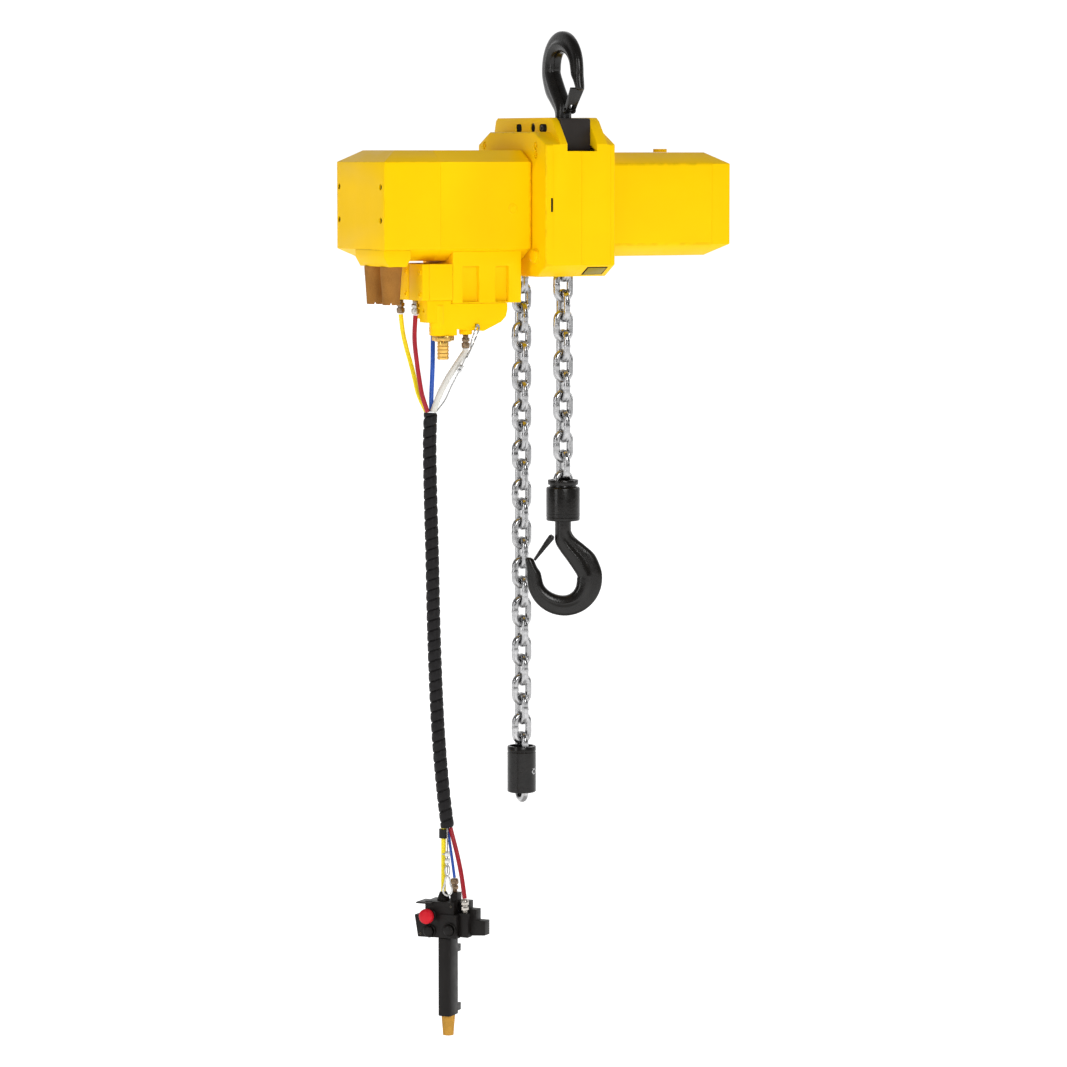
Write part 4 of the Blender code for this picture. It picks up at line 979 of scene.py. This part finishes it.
def build_valve_gear():
    refined("exhaust_manifold", YELLOW, 0.0022)
    build_silencer("silencer_front_cup", (-0.352, 0.006), "silencer_front")
    build_silencer("silencer_rear_cup", (-0.352, 0.07), "silencer_rear")
    refined("valve_casing", YELLOW, 0.001)
    lower = refined("valve_lower_casing", YELLOW, 0.0048, segments=5)
    carve(lower, bore((0.002, -0.47), -0.3, -0.284, 0.0028))
    bm = bmesh.new()
    pillar = [(-0.46, 0.015), (-0.49, 0.015), (-0.496, 0.0135), (-0.515, 0.013), (-0.5152, 0.011)]
    turned(bm, pillar, "Z", (-0.261, 0.001), 40)
    turned(bm, [(-0.504, 0.0122), (-0.5125, 0.012), (-0.5142, 0.0108)], "Z", WHITE_PORT, 32)
    make("valve_bosses", bm, YELLOW)
    for name, front in (("pilot_block_front", -0.015), ("pilot_block_rear", 0.041)):
        refined(name, YELLOW, 0.0014)
        places = [moved(-0.299, front + 0.0095, z) for z in (-0.399, -0.44)]
        screws(f"{name}_screws", places, 0.005, YELLOW, 0.0022)

    bm = bmesh.new()
    prism(bm, arc(0.0208, 6, INLET_XY, HOOK_TURN), "Z", -0.5245, -0.5153)
    soften(bm, 0.0009, 3, 40.0)
    turned(bm, [(-0.5262, 0.015), (-0.524, 0.0175)], "Z", INLET_XY, 40)
    ribs = [(-0.53, 0.006), (-0.559, 0.0068), (-0.559, 0.0096), (-0.5575, 0.0104)]
    for rib in range(4):
        base = -0.556 + 0.0066 * rib
        ribs += [(base, 0.011), (base + 0.0012, 0.0112), (base + 0.0024, 0.01), (base + 0.0056, 0.0104)]
    ribs += [(-0.5255, 0.01)]
    turned(bm, ribs, "Z", INLET_XY, 40)
    make("inlet_barb_turned", bm, BRASS, "frame", "inlet_barb")

    build_fitting("fitting_yellow", *YELLOW_PORT, PILOT_BOTTOM, BRONZED)
    build_fitting("fitting_red", *RED_UPPER_PORT, PILOT_BOTTOM, NICKEL)
    build_fitting("fitting_blue", *BLUE_UPPER_PORT, POCKET_TOP, NICKEL)
    build_fitting("fitting_white", *WHITE_PORT, WHITE_BOSS_BOTTOM, BRONZED)
    build_wire_ends()


def build_wire_ends():
    """Eye of the strain wire round its bolt in the casing, and the clamp that closes it."""
    bm = bmesh.new()
    eye = [WIRE_EYE, (-0.1835, -0.0148, -0.4985), (-0.185, -0.015, -0.508), (-0.1915, -0.0155, -0.522),
           (-0.1985, -0.016, -0.536), (-0.2065, -0.011, -0.556)]
    swept(bm, smooth_route(eye, 0.0015), strand_radius, 18)
    turned(bm, [(-0.0175, 0.0001), (-0.0175, 0.0022), (-0.016, 0.003), (-0.0135, 0.003), (-0.0135, 0.0022),
                (-0.01, 0.0022)], "Y", (-0.1877, -0.497), 24)
    make("wire_eye", bm, WIRE_STEEL)
    path = smooth_route(WIRE_UPPER, 0.0012)
    middle = min(path, key=lambda p: abs(p.z + 0.5761))
    ahead = (path[path.index(middle) + 3] - path[path.index(middle) - 3]).normalized()
    place = Matrix.Translation(middle) @ ahead.to_track_quat("Z", "Y").to_matrix().to_4x4()
    bm = bmesh.new()
    for low, high in ((-0.007, -0.0006), (0.0006, 0.007)):
        box(bm, (-0.0042, 0.0042), (-0.0036, 0.0036), (low, high), place)
    soften(bm, 0.0009, 3, 40.0)
    swing_along(make("wire_clamp", bm, FERRULE, None))


# ---- pendant
def pendant_button(node, at, base, radius, proud, dome, look):
    """Domed button with a neck into the head and a fine ring round its cap."""
    cap = base - proud * 0.5
    face = base - proud
    profile = [(base + 0.0075, radius * 0.52), (cap, radius * 0.52), (cap - 0.0002, radius * 0.93),
               (cap - 0.0012, radius), (face + dome, radius), (face + dome * 0.62, radius * 0.955),
               (face + dome * 0.3, radius * 0.84), (face + dome * 0.1, radius * 0.62), (face, radius * 0.3),
               (face, 0.0)]
    bm = turned(bmesh.new(), profile, "Y", at, 48, place=pendant_place())
    make(f"{node}_cap", bm, look, node, node)


def build_pendant():
    refined("pendant_head", PLASTIC, 0.0022, "pendant")
    refined("pendant_valve_block", PLASTIC, 0.0016, "pendant")
    refined("pendant_grip", PLASTIC, 0.0026, "pendant", 4, angle=24.0)
    place = pendant_place()
    pendant_button("emergency_stop", STOP_AT, HEAD_FACE, 0.014, 0.024, 0.0055, RED)
    pendant_button("up_button", UP_AT, RAISED_FACE, 0.01, 0.01, 0.0035, PLASTIC)
    pendant_button("down_button", DOWN_AT, HEAD_FACE, 0.01, 0.01, 0.0035, PLASTIC)
    bm = bmesh.new()
    for at, base, inner, outer in ((UP_AT, RAISED_FACE, 0.0106, 0.0132), (DOWN_AT, HEAD_FACE, 0.0106, 0.0126),
                                   (STOP_AT, HEAD_FACE, 0.0092, 0.0118)):
        collar = [(base + 0.0008, inner), (base - 0.0022, inner), (base - 0.003, inner + 0.0008),
                  (base - 0.003, outer - 0.0008), (base - 0.0022, outer), (base + 0.0008, outer)]
        turned(bm, collar, "Y", at, 48, ring=True, place=place)
    make("button_collars", bm, PLASTIC, "pendant")

    bm = bmesh.new()
    box(bm, (-0.0508, -0.02), (-0.032, 0.006), (HEAD_TOP - 0.004, HEAD_TOP - 0.0012), place)
    make("pendant_visor", soften(bm, 0.0008, 2, 40.0), PLASTIC, "pendant")

    boot = on_pendant(*BOOT_AT)
    ribs = [(HEAD_TOP + GAP, 0.012), (HEAD_TOP + 0.003, 0.012), (HEAD_TOP + 0.0042, 0.011)]
    for rib in range(4):
        base = HEAD_TOP + 0.0052 + 0.0026 * rib
        radius = 0.0108 - 0.001 * rib
        ribs += [(base, radius), (base + 0.0016, radius - 0.0004), (base + 0.002, radius - 0.0013)]
    ribs += [(HEAD_TOP + 0.016, 0.0062)]
    make("pendant_boot_ribbed", turned(bmesh.new(), ribs, "Z", (boot.x, boot.y), 40), PLASTIC, "pendant",
         "pendant_hose_boot")

    tail = [(-1.7753, 0.01275), (-1.782, 0.0123), (-1.806, 0.0104), (-1.813, 0.01), (-1.813, 0.0072),
            (-1.8, 0.007), (-1.8, 0.0)]
    make("pendant_silencer_cup", turned(bmesh.new(), tail, "Z", PENDANT_XY, 48), SINTERED_LIGHT, "pendant",
         "pendant_silencer")
    red, blue = on_pendant(*RED_PORT), on_pendant(*BLUE_PORT)
    build_fitting("pendant_red_fitting", red.x, red.y, LEDGE_TOP, NICKEL, "pendant", True)
    build_fitting("pendant_blue_fitting", blue.x, blue.y, TALL_TOP, BRONZED, "pendant", True)
    build_snap_hook()
    build_pendant_trim()


def drop_route(place, top, half, low):
    """Closed drop in the XZ plane of its place, from half of its outline."""
    outline = [(0.0, top), *half, (0.0, low), *[(-x, z) for x, z in half[::-1]], (0.0, top)]
    return smooth_route([place @ Vector((x, 0.0, z)) for x, z in outline], 0.0012)[:-1]


def build_snap_hook():
    """Drop-shaped snap hook between the wire and the head, its thimble and the clamp above it."""
    clip = on_pendant(*CLIP_AT)
    place = moved(clip.x, clip.y, 0.0) @ Matrix.Rotation(HOOK_TURN, 4, "Z")
    wire = 0.0019
    low, top = CLIP_Z[0] + wire, CLIP_Z[1] - wire
    half = [(0.003, top - 0.004), (0.0052, top - 0.016), (0.0078, low + 0.013), (0.0062, low + 0.004)]
    loop = drop_route(place, top, half, low)
    make("snap_hook_ring", swept(bmesh.new(), loop, wire, 14, closed=True), FERRULE, "pendant",
         "snap_hook")
    loop = drop_route(place, -1.4905, [(0.0034, -1.496), (0.0042, -1.504), (0.0026, -1.5105)], -1.5125)
    make("wire_thimble", swept(bmesh.new(), loop, 0.0013, 12, closed=True), WIRE_STEEL, "pendant")
    bm = bmesh.new()
    for base in (-1.489, -1.476):
        box(bm, (-0.0046, 0.0046), (-0.0034, 0.0034), (base, base + 0.0095), place)
    soften(bm, 0.001, 3, 40.0)
    turned(bm, [(-0.01, 0.0001), (-0.01, 0.0016), (-0.003, 0.0016)], "X", (0.0, -1.4715), 16, place=place)
    make("lower_clamp", bm, FERRULE, "pendant")


def build_pendant_trim():
    """Tape round the yellow hose, and the cover screws of the head."""
    taped = [p for p in smooth_route(lower_routes()["yellow"], 0.001) if -1.444 < p.z < -1.4265]
    make("hose_tape", swept(bmesh.new(), taped, LOWER_DIAMETERS["yellow"] / 2 + 0.004, 20), TAPE, "pendant")
    facing = Matrix.Rotation(pi / 2, 4, "Z")
    places = [pendant_place() @ moved(x, HEAD_FACE + 0.0002, z) @ facing
              for x, z in ((-0.046, -1.596), (-0.046, -1.6225), (0.0165, -1.568))]
    screws("pendant_screws", places, 0.0022, proud=0.001, body="pendant")


# ---- inner pieces
def build_inner_looks():
    """Materials of the CAD pieces that stay as they are."""
    inner = ("load_wheel", "rotor_shaft", "brake_disc", "motor_cylinder", "planetary_cartridge")
    for name, look in [(name, STEEL) for name in inner] + [("suspension_pin", DARK_STEEL)]:
        NODES[name].data.materials.clear()
        NODES[name].data.materials.append(look)


# ---- stage and light
FLOOR_Z = -2.2
FLOOR_RADIUS = 60.0
GLOW_FROM, GLOW_TO = 0.75, 1.25  # distances from the middle between which the floor turns white


def build_stage():
    """Plain pale floor, which glows a little so that it stays white to its edge."""
    pale = Surface("pale_floor", (0.97, 0.97, 0.97), 0.9).mottle(0.6, 0.005).haze(2.0, 0.02).done()
    tree = pale.node_tree
    shader = tree.nodes["Principled BSDF"]
    shader.inputs["Emission Color"].default_value = (1.0, 1.0, 1.0, 1.0)
    middle = add_node(tree, "TexCoord").outputs["Object"]
    away = add_node(tree, "VectorMath", {"operation": "LENGTH"}, Vector=middle)
    glow = spread(tree, away.outputs["Value"], 0.05, 0.86, GLOW_FROM, GLOW_TO)
    put(tree, shader.inputs["Emission Strength"], glow)
    mesh = bpy.data.meshes.new("floor")
    bm = bmesh.new()
    bm.faces.new([bm.verts.new((*point, 0.0)) for point in arc(FLOOR_RADIUS, 64)])
    bm.to_mesh(mesh)
    bm.free()
    mesh.materials.append(pale)
    ground = show("floor", mesh)
    ground.location.z = FLOOR_Z


def area_light(name, place, aim, size, power):
    data = bpy.data.lights.new(name, "AREA")
    data.shape = "RECTANGLE"
    data.size, data.size_y = size
    data.energy = power
    light = show(name, data)
    light.location = place
    light.rotation_euler = (Vector(aim) - Vector(place)).to_track_quat("-Z", "Y").to_euler()


def build_light():
    """White room behind the hoist, a greyer one in front, and soft boxes."""
    world = bpy.data.worlds.new("studio")
    world.use_nodes = True
    tree = world.node_tree
    background = tree.nodes["Background"]
    behind = add_node(tree, "VectorMath", {"operation": "DOT_PRODUCT"})
    put(tree, behind.inputs[0], add_node(tree, "TexCoord").outputs["Generated"])
    behind.inputs[1].default_value = (sin(CAMERA_YAW), cos(CAMERA_YAW), 0.0)
    put(tree, background.inputs["Strength"], spread(tree, behind.outputs["Value"], 0.17, 1.06, 0.1, 0.75))
    background.inputs["Color"].default_value = (1.0, 1.0, 1.0, 1.0)
    bpy.context.scene.world = world
    area_light("key", (-1.2, -5.2, 1.4), (0.0, 0.0, -0.5), (2.0, 2.0), 124.0)
    area_light("left", (-5.6, -1.2, 0.4), (0.0, 0.0, -0.6), (1.0, 3.0), 46.0)
    area_light("right_rim", (4.5, -1.5, 1.2), (0.0, 0.0, -0.5), (0.8, 3.0), 36.0)
    bpy.context.scene.view_settings.view_transform = "Standard"


build_camera()
build_cords()
build_chain()
build_hooks()
build_motor_box()
build_gear_box()
build_casting()
build_valve_gear()
build_pendant()
build_inner_looks()
build_stage()
build_light()
